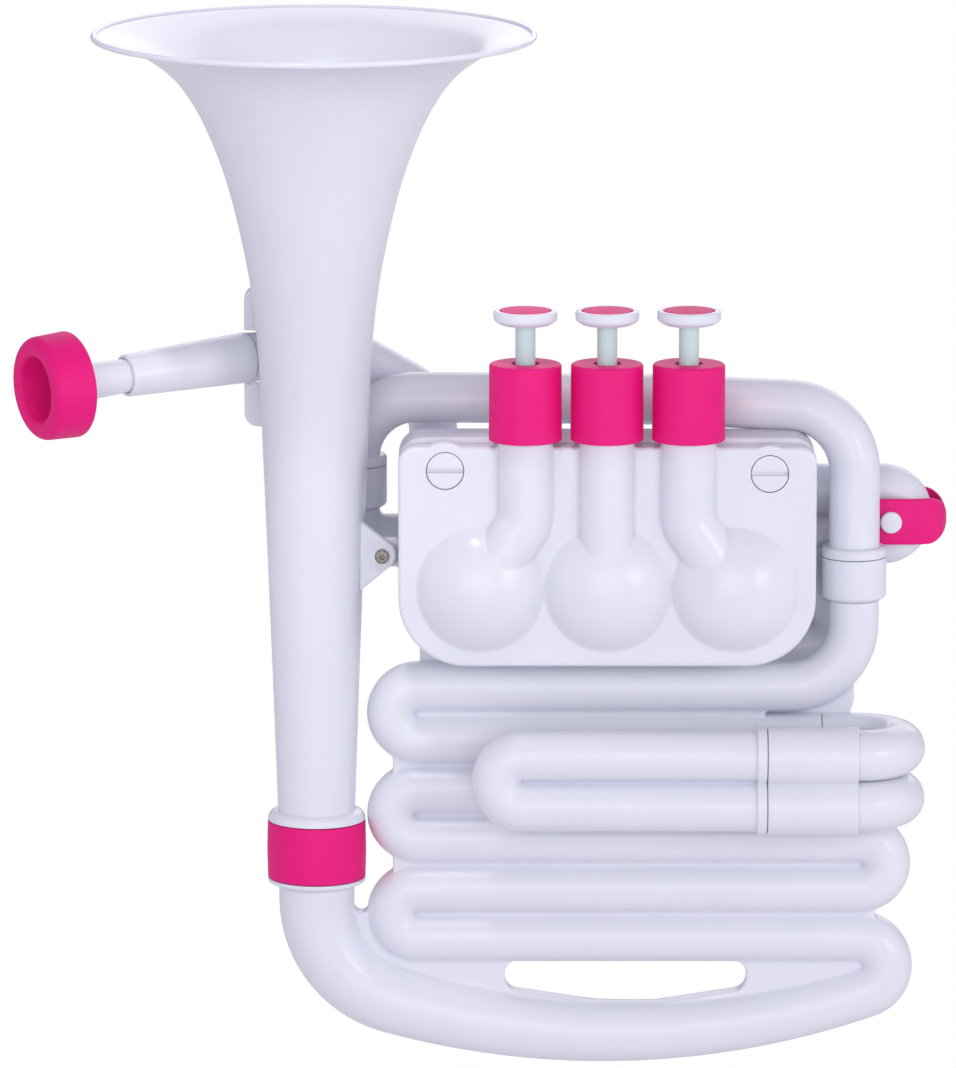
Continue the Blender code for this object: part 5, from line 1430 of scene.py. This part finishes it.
@dataclass
class Mouthpiece(Assembly):
    """White cup and shank, and the soft cover on its rim."""

    cup: float = 11.5
    lining: float = 1.4
    cup_wall: float = 1.9
    cup_depth: float = 22.0
    cover_radius: float = 19.8
    shank: float = 6.3
    bore: float = 3.4
    shank_depth: float = 22.0
    lip: float = 3.0
    front: float = -3.0
    back: float = 13.4

    def cup_profile(self) -> Outline:
        """The cup and shank, as radius and distance from the rim."""
        end = LAYOUT.sleeve_start + self.shank_depth
        cup, shank, back = self.cup, self.shank, self.back
        wide = cup + self.lining + self.cup_wall
        rest, step = self.lip + 0.3, self.lip + 7.4
        corners = [(self.bore + 1, end, 0.4), (shank, end, 0.8), (shank, LAYOUT.sleeve_start - 2)]
        corners += [(shank + 0.5, back + 8, 12.0), (shank + 1.6, back + 3.2, 4.0)]
        corners += [(wide - 1.6, back + 0.8, 1.2)]
        corners += [(wide, back - 1, 0.6), (wide, rest), (cup + self.lining, rest), (cup + 0.8, step)]
        corners += [(cup - 1.2, step, 0.3), (cup - 3.6, self.cup_depth - 5, 5.0)]
        corners += [(self.bore, self.cup_depth, 1.0)]
        return filleted(corners)

    def cover_profile(self) -> Outline:
        """The rim cover's thick rounded ring."""
        wide, cup, lip = self.cover_radius, self.cup, self.lip
        inner = cup + self.lining + self.cup_wall + LAYOUT.seam
        corners = [(inner, self.back, 0.3), (wide, self.back, 1.6), (wide - 0.7, self.front, 3.6)]
        corners += [(cup + 0.9, self.front, 1.8), (cup - 0.9, lip + 7, 0.3), (cup + 0.5, lip + 7)]
        corners += [(cup + self.lining - 0.3, lip), (inner, lip)]
        return filleted(corners)

    def build(self) -> None:
        """Make the mouthpiece and its rim cover."""
        at = LAYOUT.mouth_face
        cup = revolved("cup", self.cup_profile(), at, LAYOUT.mouth_axis, 96)
        self.keep(cup, WHITE, "mouthpiece", body="mouthpiece")
        cover = revolved("cover", self.cover_profile(), at, LAYOUT.mouth_axis, 128)
        self.keep(cover, PINK, "rim_cover", body="mouthpiece")


def housing_outline(
    inset: float = 0.0, high: float = LAYOUT.housing_high, head: float = 6.0, foot: float = 25.5
) -> Outline:
    """The outline that the valve cover and the valve block share.

    Args:
        inset: How far the outline is drawn in.
        high: Its upper side.
        head: The radius of its upper corners.
        foot: The radius of its lower corners.

    Returns:
        The outline's points.
    """
    left = LAYOUT.housing_left + inset
    right = LAYOUT.housing_right - inset
    return rounded_box(left, right, LAYOUT.housing_low + inset, high, foot - inset, max(head - inset, 1.6))


@dataclass
class ValveCover(Assembly):
    """Front cover with three domes, three plunger guides and three necks."""

    wall: float = 2.8
    edge: float = 1.4
    dome: float = 23.0
    rise: float = 11.0
    dome_wall: float = 2.4
    high: float = 208.6
    guide: float = 10.2
    knee: float = 181.0
    knee_bend: float = 12.0
    neck: float = 6.0
    pocket_top: float = 190.0
    spring_bore: float = 7.5
    stem_low: float = 170.3
    boss: float = 10.6
    grain: float = 0.5
    passes: int = 2

    def dome_profile(self, offset: float) -> Outline:
        """A shallow dome about its own axis, grown by an offset.

        Args:
            offset: How much it grows, or shrinks when negative.

        Returns:
            The profile, from the axis out to its base.
        """
        ball = (self.dome ** 2 + self.rise ** 2) / (2 * self.rise)
        depth = ball - self.rise
        back = depth - 8
        turn = math.acos(back / (ball + offset))
        rim = [(r, h - depth) for h, r in arc((0, 0), ball + offset, 0, turn, FINE / 2)]
        rim[0] = (0, rim[0][1])
        return rim + [(0, back - depth)]

    def body(self) -> bpy.types.Object:
        """The cover's outer form."""
        front = LAYOUT.housing_front
        parts = [prism("cover", housing_outline(0.0, self.high), front, LAYOUT.housing_split, self.edge)]
        for valve_x, stem_x in zip(LAYOUT.valve_x, LAYOUT.stem_x):
            at = (valve_x, front, LAYOUT.valve_z)
            parts.append(revolved("dome", self.dome_profile(0), at, (0, -1, 0), 128, False))
            top = LAYOUT.housing_high + self.neck
            way = [(stem_x, LAYOUT.stem_y, top), (stem_x, LAYOUT.stem_y, self.knee)]
            way.append((valve_x, LAYOUT.stem_y, LAYOUT.valve_z))
            parts.append(swept("guide", route(way, [self.knee_bend]), self.guide, 64))
        for x, z in LAYOUT.screw_spots:
            parts.append(rod("boss", self.boss, (x, front, z), (x, front + 7, z), 96))
        return moulded("cover", parts, self.grain, self.passes)

    def hollows(self) -> list[bpy.types.Object]:
        """The cutters for the cover's inside, its bores and its flat back."""
        front = LAYOUT.housing_front
        split = LAYOUT.housing_split
        y = LAYOUT.stem_y
        top = LAYOUT.housing_high + self.neck + 1
        cutters = [prism("trim", housing_outline(-30), split, split + 30)]
        inside = housing_outline(self.wall, self.pocket_top)
        cutters.append(prism("pocket", inside, front + self.wall, split + 1))
        for valve_x, x in zip(LAYOUT.valve_x, LAYOUT.stem_x):
            at = (valve_x, front, LAYOUT.valve_z)
            cutters.append(revolved("dome", self.dome_profile(-self.dome_wall), at, (0, -1, 0), 64, False))
            for wide, low in ((self.spring_bore, LAYOUT.spring_seat), (LAYOUT.stem + 0.35, self.stem_low)):
                cutters.append(rod("bore", wide, (x, y, low), (x, y, top)))
        seat_back = front + LAYOUT.screw_depth + LAYOUT.seam
        head = LAYOUT.screw_head + LAYOUT.seam
        shank = LAYOUT.screw_shank + LAYOUT.seam
        for x, z in LAYOUT.screw_spots:
            cutters.append(rod("seat", head, (x, front - 2, z), (x, seat_back, z), 96))
            cutters.append(rod("hole", shank, (x, front, z), (x, split + 1, z), 48))
        return cutters

    def build(self) -> None:
        """Make the cover."""
        self.keep(carved(self.body(), *self.hollows()), WHITE, "valve_cover")


@dataclass
class ValveBlock(Assembly):
    """Rear housing with the rotors' pockets, the ports and the slides' sockets."""

    edge: float = 0.9
    high: float = 210.5
    rotor: float = 18.3
    rotor_back: float = 1.3
    trunnion: float = 3.3
    boss_half: float = 12.0
    boss_reach: float = 10.5
    web_left: float = 30.0
    web_right: float = 79.0
    web_half: float = 9.5
    web_front: float = 12.4
    lug_thickness: float = 5.0
    lug_front: float = -1.7
    screw_hole: float = 2.1
    boss: float = 5.2
    grain: float = 0.7
    passes: int = 2

    def ports(self) -> list[bpy.types.Object]:
        """The ports that leave the block's back and turn along it."""
        rear = LAYOUT.rear_layer_y
        bend = LAYOUT.port_bend
        third, first = (line.bow[0] - line.leg - line.socket for line in (THIRD_SLIDE, FIRST_SLIDE))
        lines = (
            (THIRD_SLIDE, third - bend - 4, LAYOUT.housing_back - 3, third + 3),
            (FIRST_SLIDE, LAYOUT.valve_x[0], rear - bend, first + 3),
        )
        made = []
        for side in (1, -1):
            for line, x, front, end in lines:
                z = line.bow[2] + side * LAYOUT.bend
                way = [(x, front, z), (x, rear, z), (end, rear, z)]
                made.append(swept("port", route(way, [bend]), LAYOUT.tube))
        return made

    def bosses(self) -> list[bpy.types.Object]:
        """The boss and foot that carry the first slide's ports."""
        x = LAYOUT.valve_x[0]
        rear = LAYOUT.rear_layer_y
        half = self.boss_half
        z = FIRST_SLIDE.bow[2]
        reach = LAYOUT.bend + LAYOUT.tube + 1
        row_top = LAYOUT.row_z(5) + LAYOUT.tube - 2.4
        upper = rounded_box(x - half - self.boss_reach, x + half, row_top, z + reach, 0.8, 4)
        lower = rounded_box(x - half - 1, x + half + 1, z - reach, z, 4, 4)
        middle = (THIRD_SLIDE.bow[2] + z) / 2
        web = rounded_box(self.web_left, self.web_right, middle - self.web_half, middle + self.web_half, 2, 2)
        return [
            prism("boss", upper, LAYOUT.housing_back - 3, rear - 4, 1.2),
            prism("foot", lower, LAYOUT.tube + 1.2, rear - 3, 1.2),
            prism("web", web, self.web_front, self.web_front + 2.2, 0.5),
        ]

    def arm(self) -> bpy.types.Object:
        """The tube from the block to the crook's left socket."""
        x, y, seam = LAYOUT.left_seam
        z = seam - LAYOUT.crook_depth - LAYOUT.port_bend
        end = LAYOUT.housing_left + LAYOUT.tube + 0.8
        way = [(x, y, z + LAYOUT.port_bend + 2), (x, y, z), (end, y, z), (end, LAYOUT.housing_back - 3, z)]
        bend = LAYOUT.port_bend - 1
        return swept("arm", route(way, [bend, bend]), LAYOUT.tube)

    def lug(self) -> bpy.types.Object:
        """The lug that the bell's screw bites into."""
        x, z = LAYOUT.bell_screw
        edge = LAYOUT.housing_left + 2.8
        outline = arc((x, z), self.boss, QUARTER, 3 * QUARTER)
        outline += [(edge, z - self.boss), (edge, z + self.boss)]
        return prism("lug", outline, self.lug_front, self.lug_front + self.lug_thickness, 0.5)

    def sockets(self) -> list[bpy.types.Object]:
        """The crisp sockets of the slides, the crook and the leadpipe."""
        made = []
        inside = LAYOUT.housing_back - 3
        outline = eight(LAYOUT.slide_socket, LAYOUT.bend)
        for line in (THIRD_SLIDE, FIRST_SLIDE, SECOND_SLIDE):
            matrix = line.matrix() @ Matrix.Rotation(-QUARTER, 4, "Z")
            start = line.socket_start()
            length = line.bow[1] - line.leg - inside if line is SECOND_SLIDE else line.socket
            made.append(prism("socket", outline, start, start + length, 0.35, matrix))
        made.append(crook_socket(LAYOUT.left_seam))
        wide = LAYOUT.crook_socket
        at = (LAYOUT.pipe_drop[0], inside, LAYOUT.pipe_tail_z)
        made.append(turned("socket", [(0, 15), (wide, 15, 0.35), (wide, 0), (0, 0)], at, (0, 1, 0)))
        return made

    def hollows(self) -> list[bpy.types.Object]:
        """The cutters for the sockets, the rotors' pockets and the screws."""
        cutters = []
        for line in (THIRD_SLIDE, FIRST_SLIDE, SECOND_SLIDE):
            for side in (1, -1):
                start, end = (
                    line.matrix() @ Vector((reach, 0, side * LAYOUT.bend))
                    for reach in (line.leg - 1, line.leg + line.spigot + 1)
                )
                cutters.append(rod("bore", LAYOUT.slide_socket_bore, start, end))
        x, y, z = LAYOUT.left_seam
        low = z - LAYOUT.crook_depth + LAYOUT.seam
        cutters.append(rod("bore", LAYOUT.crook_bore, (x, y, low), (x, y, z + 1)))
        split = LAYOUT.housing_split
        back = LAYOUT.housing_back
        screw_end = LAYOUT.housing_front + LAYOUT.screw_length + LAYOUT.seam
        screw_hole = LAYOUT.screw_shank + LAYOUT.seam
        z = LAYOUT.valve_z
        runs = [("bore", LAYOUT.crook_bore, LAYOUT.pipe_drop[0], LAYOUT.pipe_tail_z, back + 1, back + 13, 64)]
        for x in LAYOUT.valve_x:
            runs.append(("pocket", self.rotor, x, z, split - 1, self.rotor_back, 96))
            runs.append(("pin", self.trunnion, x, z, 0, self.rotor_back + 2.3, 64))
        runs += [("hole", screw_hole, x, z, split - 1, screw_end, 48) for x, z in LAYOUT.screw_spots]
        end = self.lug_front + self.lug_thickness - 1
        runs.append(("hole", self.screw_hole, *LAYOUT.bell_screw, self.lug_front - 1, end, 48))
        for name, wide, x, z, near, far, steps in runs:
            cutters.append(rod(name, wide, (x, near, z), (x, far, z), steps))
        return cutters

    def build(self) -> None:
        """Make the block."""
        front = LAYOUT.housing_split + LAYOUT.seam
        plate = prism("block", housing_outline(0.0, self.high, 9.0), front, LAYOUT.housing_back, self.edge)
        parts = [plate, *self.ports(), *self.bosses(), self.arm(), self.lug()]
        body = joined(moulded("block", parts, self.grain, self.passes), *self.sockets())
        self.keep(carved(body, *self.hollows()), WHITE, "valve_block")


@dataclass
class Valve(Assembly):
    """One plunger with its cap, button, pad, stem and wound return spring."""

    index: int = 0
    cap: float = 13.35
    cap_low: float = 211.3
    cap_high: float = 239.9
    cap_round: float = 1.1
    ceiling: float = 3.6
    guide: float = 10.2
    button: float = 11.8
    button_high: float = 259.7
    button_thickness: float = 5.2
    pad: float = 9.3
    pad_thickness: float = 1.2
    collar: float = 6.65
    collar_height: float = 2.0
    wire: float = 0.45
    coil: float = 6.2
    turns: int = 4
    coil_steps: int = 40
    travel: float = 12.0
    pitch: float = 4.0
    gear_teeth: int = 12
    addendum: float = 0.95
    dedendum: float = 1.45
    rack_teeth: int = 6
    rack_back: float = 3.6
    rack_front_y: float = -21.7
    rack_back_y: float = -17.3
    foot_high: float = 188.5
    foot_height: float = 5.0

    @property
    def number(self) -> int:
        """The valve's number, counted from the bell."""
        return self.index + 1

    @property
    def body(self) -> str:
        """The body that the plunger moves with."""
        return "plunger_%d" % self.number

    def base(self) -> tuple[float, float, float]:
        """The point of the plunger's axis at height 0."""
        return (LAYOUT.stem_x[self.index], LAYOUT.stem_y, 0)

    def collar_low(self) -> float:
        """The height of the stem collar's underside, which the spring pushes on."""
        return self.cap_high - self.ceiling - self.collar_height - 2 * LAYOUT.seam

    def rack(self) -> bpy.types.Object:
        """The rack that turns the valve's rotor."""
        side = 1 if LAYOUT.stem_x[self.index] > LAYOUT.valve_x[self.index] else -1
        line = LAYOUT.valve_x[self.index] + side * self.pitch * self.gear_teeth / (2 * math.pi)
        root = line + side * self.dedendum
        tip = line - side * self.addendum
        heel = line + side * self.rack_back
        top = self.foot_high - self.foot_height + 1
        first = LAYOUT.valve_z - 0.5 * self.pitch
        outline: Outline = [(heel, top), (heel, first - self.pitch)]
        for tooth in range(self.rack_teeth):
            middle = first + tooth * self.pitch
            outline += [(root, middle - 0.27 * self.pitch), (tip, middle - 0.12 * self.pitch)]
            outline += [(tip, middle + 0.12 * self.pitch), (root, middle + 0.27 * self.pitch)]
        outline.append((root, top))
        rack = prism("rack", outline, self.rack_front_y, self.rack_back_y)
        stem_x = LAYOUT.stem_x[self.index]
        left = min(stem_x - LAYOUT.stem, line - self.rack_back)
        right = max(stem_x + LAYOUT.stem, line + self.rack_back)
        foot = rounded_box(left, right, top - 1, self.foot_high, 1, 1)
        return joined(rack, prism("foot", foot, self.rack_front_y, self.rack_back_y))

    def stem(self) -> bpy.types.Object:
        """The stem with its collar, foot and rack."""
        low = self.foot_high - self.foot_height
        high = self.button_high - self.button_thickness + 1
        x, y, _ = self.base()
        body = rod("stem", LAYOUT.stem, (x, y, low), (x, y, high), 64)
        collar_low = self.collar_low()
        collar_high = collar_low + self.collar_height
        ring = [(0, collar_high), (self.collar, collar_high, 0.3)]
        ring += [(self.collar, collar_low, 0.3), (0, collar_low)]
        return joined(body, turned("collar", ring, self.base()), self.rack())

    def button_profile(self) -> list[Corner]:
        """The button's disc, with a seat for its pad and a dimple for the stem."""
        wide, high = self.button, self.button_high
        low = high - self.button_thickness
        floor = high - self.pad_thickness
        seat = self.pad + LAYOUT.seam
        hole = LAYOUT.stem + LAYOUT.seam
        corners: list[Corner] = [(0, floor), (seat, floor), (seat, high, 0.25), (wide, high, 1.1)]
        corners += [(wide - 0.1, low + 1.6, 1.6), (wide - 2.6, low, 1.2)]
        return corners + [(hole, low), (hole, low + 1.3), (0, low + 1.3)]

    def pad_profile(self) -> list[Corner]:
        """The pad's slightly domed disc."""
        low = self.button_high - self.pad_thickness + LAYOUT.seam
        high = self.button_high + LAYOUT.seam
        return [(0, low), (self.pad, low), (self.pad, high - 0.25, 0.25), (0, high)]

    def cap_profile(self) -> Outline:
        """The soft cap with its rolled edge and the recess round the stem."""
        hole = LAYOUT.stem + 0.35
        low = self.cap_low
        high = self.cap_high
        inner = self.guide + LAYOUT.seam
        ceiling = high - self.ceiling
        corners = [(hole, high - 1.2), (hole + 0.9, high - 1.2, 0.3), (hole + 1.1, high, 0.4)]
        corners += [(self.cap, high, self.cap_round), (self.cap + 0.15, low, 0.5), (inner, low)]
        return filleted(corners + [(inner, ceiling), (hole, ceiling)])

    def spring(self) -> bpy.types.Object:
        """The wound return spring, with flat end turns."""
        steps = self.coil_steps
        low = LAYOUT.spring_seat + self.wire + LAYOUT.seam
        high = self.collar_low() - self.wire - LAYOUT.seam
        lead = 2.4 * self.wire + LAYOUT.seam
        x, y, _ = self.base()
        points = []
        for i in range(self.turns * steps + 1):
            done = i / steps
            if done < 1:
                z = low + lead * done
            elif done > self.turns - 1:
                z = high - lead * (self.turns - done)
            else:
                z = low + lead + (high - low - 2 * lead) * (done - 1) / (self.turns - 2)
            turn = 2 * math.pi * done
            points.append((x + self.coil * math.cos(turn), y + self.coil * math.sin(turn), z))
        return swept("spring", points, self.wire, 14)

    def build(self) -> None:
        """Make the valve's pieces."""
        number = self.number
        self.keep(self.stem(), MINT, "valve_stem_%d" % number, body=self.body)
        button = turned("button", self.button_profile(), self.base())
        self.keep(button, WHITE, "button_top_%d" % number, body=self.body)
        pad = turned("pad", self.pad_profile(), self.base())
        self.keep(pad, PINK, "button_pad_%d" % number, body=self.body)
        cap = revolved("cap", self.cap_profile(), self.base(), steps=128)
        self.keep(cap, PINK, "valve_cap_%d" % number)
        self.keep(self.spring(), SPRING, "valve_spring_%d" % number)

    def dress(self) -> None:
        """Dress the pieces and give the spring a mesh of its own."""
        super().dress()
        spring = self.pieces[-1].mesh
        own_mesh(spring)


@dataclass
class Rotors(Assembly):
    """The three ball rotors, which keep their solids inside the housing."""

    nodes: tuple[str, ...] = ("valve_rotor_1", "valve_rotor_2", "valve_rotor_3")
    carriers: Mapping[str, bpy.types.Object] = field(default_factory=dict)

    def build(self) -> None:
        """The rotors are made already."""

    def dress(self) -> None:
        """Give each rotor the moulded finish."""
        for node in self.nodes:
            carrier = self.carriers[node]
            carrier.data.materials.clear()
            carrier.data.materials.append(WHITE.material())
            LOG.info("%s: keeps its solid", node)


@dataclass
class CoverScrews(Assembly):
    """Two coin-slot screws in the front cover."""

    slot: float = 1.6

    def build(self) -> None:
        """Make the screws."""
        front = LAYOUT.housing_front
        head, shank = LAYOUT.screw_head, LAYOUT.screw_shank
        depth, length = LAYOUT.screw_depth, LAYOUT.screw_length
        corners = [(0, 0), (head, 0, 0.35), (head, -depth), (shank, -depth)]
        corners += [(shank, -length, 0.6), (0, -length)]
        reach = head + 1
        half = self.slot / 2
        outline = [(-reach, -half), (reach, -half), (reach, half), (-reach, half)]
        for number, (x, z) in enumerate(LAYOUT.screw_spots, 1):
            screw = turned("screw", corners, (x, front, z), (0, -1, 0))
            slot = prism("slot", outline, front - 1, front + depth / 2, matrix=Matrix.Translation((x, 0, z)))
            node = "cover_screw_%d" % number
            self.keep(carved(screw, slot), WHITE, node, body=node)


@dataclass
class BellScrew(Assembly):
    """Dark socket-head screw in the bell's tab."""

    head: float = 2.6
    shank: float = 1.8
    face: float = -7.3
    tip: float = 0.5
    key: float = 1.3

    def build(self) -> None:
        """Make the screw."""
        x, z = LAYOUT.bell_screw
        high = self.head * 0.8
        low = self.face - self.tip
        corners = [(0, high), (self.head, high, 0.4), (self.head, 0, 0.2), (self.shank, 0)]
        corners += [(self.shank, low, 0.4), (0, low)]
        screw = turned("bell_screw", corners, (x, self.face, z), (0, -1, 0), 64)
        outline = arc((0, 0), self.key, 0, 2 * math.pi, math.pi / 3)[:-1]
        key = prism("key", outline, self.face - 4, self.face - 0.6, matrix=Matrix.Translation((x, 0, z)))
        self.keep(carved(screw, key), STEEL, "bell_screw")


@dataclass
class FingerStrap(Assembly):
    """Soft strap that loops round the third slide's bow, and its two studs."""

    width: float = 17.3
    thickness: float = 2.0
    stand_off: float = 5.2
    round_end: float = 8.1
    stud: float = 4.1
    stud_x: float = 98.2
    stud_head: float = 1.5
    stud_shank: float = 1.8
    air: float = 2.4
    drop: float = 0.6

    def build(self) -> None:
        """Make the strap and the studs."""
        height = THIRD_SLIDE.bow[2] - self.drop
        middle = Matrix.Translation((0, LAYOUT.rear_layer_y, height))
        outer = THIRD_SLIDE.bow[0] + LAYOUT.bend + LAYOUT.tube + self.stand_off
        inner = LAYOUT.tube + LAYOUT.seam + self.air
        half = inner + self.thickness
        left = self.stud_x - self.stud - 2
        bow = outer - self.thickness
        corners = [(left, -half, 0.9), (outer, -half, 13.0), (outer, half, 13.0), (left, half, 0.9)]
        corners += [(left, inner, 0.9), (bow, inner, 11.0), (bow, -inner, 11.0), (left, -inner, 0.9)]
        flat = Matrix.Rotation(-QUARTER, 4, "X")
        outline = [(x, -y) for x, y in filleted(corners, step=FINE)]
        strap = prism("strap", outline, -self.width / 2, self.width / 2, 0.7, middle @ flat)
        end = self.round_end
        low, high = height - self.width / 2, height + self.width / 2
        rim = arc((outer - end, low + end), end, -QUARTER, 0)
        rim += arc((outer - end, high - end), end, 0, QUARTER)
        rim += [(outer - end, high + 2), (outer + 2, high + 2), (outer + 2, low - 2), (outer - end, low - 2)]
        depth = LAYOUT.rear_layer_y
        holes = [prism("round_end", rim, depth - half - 2, depth + half + 2)]
        offset = LAYOUT.bend - (self.stud_x - THIRD_SLIDE.bow[0])
        foot = math.sqrt(LAYOUT.tube ** 2 - offset ** 2) + LAYOUT.seam
        seat = half + LAYOUT.seam
        face = seat + self.stud_head
        profile = [(0, face), (self.stud, face, 0.9), (self.stud, seat, 0.2), (self.stud_shank, seat)]
        profile += [(self.stud_shank, foot), (0, foot)]
        for name, way in (("strap_stud_front", -1), ("strap_stud_back", 1)):
            near, far = ((self.stud_x, depth + way * reach, height) for reach in (inner - 2, half + 2))
            holes.append(rod("hole", self.stud_shank + LAYOUT.seam, near, far, 32))
            stud = turned("stud", profile, (self.stud_x, depth, height), (0, way, 0), 64)
            self.keep(stud, WHITE, name, body="third_slide")
        carved(strap, *holes)
        self.keep(strap, PINK, "finger_strap", body="third_slide")


# Studio


@dataclass
class Studio:
    """Floor, lamps, world and camera."""

    floor_z: float = -95.0
    floor_size: float = 9000.0
    distance: float = 3200.0
    elevation: float = 10.97
    centre: tuple[float, float, float] = (-56.04, 0.0, 171.24)
    photo_height: float = 1068.0
    focal_pixels: float = 8595.2
    sensor: float = 24.0
    surround: tuple[float, float, float] = (0.86, 0.84, 1.0)
    surround_strength: float = 0.53
    lamp_colour: tuple[float, float, float] = (1.0, 0.99, 0.965)
    lamps: tuple[tuple[str, float, float, float, float, float], ...] = (
        ("key", 43, 12, 2200, 700, 9),
        ("front", -4, 3, 2400, 1900, 26),
        ("left", -68, 10, 2200, 1600, 6),
        ("side", 78, 14, 2000, 1300, 4.5),
        ("back", 168, 28, 2000, 1500, 9),
    )
    spot_aim: float = 352.0
    spot_rise: float = 66.0
    spot_reach: float = 1500.0
    spot_width: float = 92.0
    spot_power: float = 50.0

    def floor(self) -> None:
        """A plain pale floor that looks white to the camera and keeps the horn's shadow."""
        half = self.floor_size / 2
        outline = [(-half, -half), (half, -half), (half, half), (-half, half)]
        points = [(x, y, self.floor_z) for x, y in outline]
        plane = solid("floor", points, [[0, 1, 2, 3]], Matrix.Identity(4))
        desk = Desk("floor_paper")
        grain = desk.noise(6.0, 2.0)
        desk.fill(Base_Color=(0.9, 0.9, 0.9, 1), Roughness=0.7 + 0.1 * grain, Specular_IOR_Level=0.1)
        light = desk.node("ShaderNodeLightPath", {}, {})
        seen = Signal(desk, light.outputs["Is Camera Ray"])
        glow = desk.node("ShaderNodeEmission", {}, {"Color": (1, 1, 1, 1), "Strength": 1.0})
        blend = desk.node("ShaderNodeMixShader", {}, {0: seen})
        desk.tree.links.new(desk.shader.outputs[0], blend.inputs[1])
        desk.tree.links.new(glow.outputs[0], blend.inputs[2])
        output = next(node for node in desk.tree.nodes if node.type == "OUTPUT_MATERIAL")
        desk.tree.links.new(blend.outputs[0], output.inputs["Surface"])
        plane.data.materials.append(desk.material)

    def world(self) -> None:
        """A pale surround that looks white to the camera."""
        world = bpy.data.worlds.new("surround")
        bpy.context.scene.world = world
        world.use_nodes = True
        tree = world.node_tree
        pale = tree.nodes["Background"]
        pale.inputs["Color"].default_value = (*self.surround, 1)
        pale.inputs["Strength"].default_value = self.surround_strength
        white = tree.nodes.new("ShaderNodeBackground")
        white.inputs["Color"].default_value = (1, 1, 1, 1)
        white.inputs["Strength"].default_value = 1.0
        light = tree.nodes.new("ShaderNodeLightPath")
        mix = tree.nodes.new("ShaderNodeMixShader")
        tree.links.new(light.outputs["Is Camera Ray"], mix.inputs[0])
        tree.links.new(pale.outputs[0], mix.inputs[1])
        tree.links.new(white.outputs[0], mix.inputs[2])
        tree.links.new(mix.outputs[0], tree.nodes["World Output"].inputs["Surface"])

    def aimed(self, data: bpy.types.Light, aim: Vector, turn: float, rise: float, reach: float) -> None:
        """Put a lamp in the air round a point and turn it to that point.

        Args:
            data: The lamp.
            aim: The point that it lights.
            turn: How far it is to the right of the horn's front, in degrees.
            rise: How high it is, in degrees.
            reach: How far away it is.
        """
        flat = math.cos(math.radians(rise)) * reach
        side = math.radians(turn)
        lift = math.sin(math.radians(rise)) * reach
        at = aim + Vector((math.sin(side) * flat, -math.cos(side) * flat, lift))
        data.color = self.lamp_colour
        facing = (aim - at).to_track_quat("-Z", "Y").to_matrix().to_4x4()
        linked(data.name, data).matrix_world = Matrix.Translation(at * MM) @ facing

    def light(self) -> None:
        """Square soft lamps round the horn, each with its turn, rise, reach, size and watts."""
        for name, turn, rise, reach, size, power in self.lamps:
            data = bpy.data.lights.new(name, "AREA")
            data.shape = "SQUARE"
            data.size = size * MM
            data.energy = power
            self.aimed(data, Vector(self.centre), turn, rise, reach)

    def spot(self) -> None:
        """A soft narrow lamp from above that fills the bell's mouth."""
        data = bpy.data.lights.new("mouth", "SPOT")
        data.energy = self.spot_power
        data.shadow_soft_size = 90 * MM
        data.spot_size = 2.2 * math.atan(self.spot_width / self.spot_reach)
        data.spot_blend = 0.35
        aim = Vector((LAYOUT.bell_x, 0, self.spot_aim))
        self.aimed(data, aim, -12, self.spot_rise, self.spot_reach)

    def camera(self) -> None:
        """The camera, at the photograph's angle and framing."""
        data = bpy.data.cameras.new("camera")
        data.sensor_fit = "VERTICAL"
        data.sensor_height = self.sensor
        data.lens = self.sensor * self.focal_pixels / self.photo_height
        data.clip_end = 100
        camera = linked("camera", data)
        tilt = math.radians(self.elevation)
        away = Vector((0, -math.cos(tilt), math.sin(tilt)))
        at = (Vector(self.centre) + away * self.distance) * MM
        camera.matrix_world = Matrix.Translation(at) @ away.to_track_quat("Z", "Y").to_matrix().to_4x4()
        bpy.context.scene.camera = camera

    def build(self) -> None:
        """Set up the studio."""
        self.floor()
        self.world()
        self.light()
        self.spot()
        self.camera()
        bpy.context.scene.view_settings.view_transform = "Standard"


def main() -> None:
    """Build the horn's looks around the frame."""
    logging.basicConfig(level=logging.INFO, format="%(message)s")
    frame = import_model()
    Studio().build()
    assemblies: list[Assembly] = [
        Bell(),
        BellBand(),
        MainTubing(),
        ReturnElbows(),
        *(Slide(line=line) for line in (MAIN_SLIDE, FIRST_SLIDE, SECOND_SLIDE, THIRD_SLIDE)),
        TopCrook(),
        Leadpipe(),
        Mouthpiece(),
        ValveBlock(),
        ValveCover(),
        *(Valve(index=index) for index in range(3)),
        Rotors(carriers=frame["nodes"]),
        CoverScrews(),
        BellScrew(),
        FingerStrap(),
    ]
    for assembly in assemblies:
        assembly.build()
        assembly.dress()


if __name__ == "__main__":
    main()
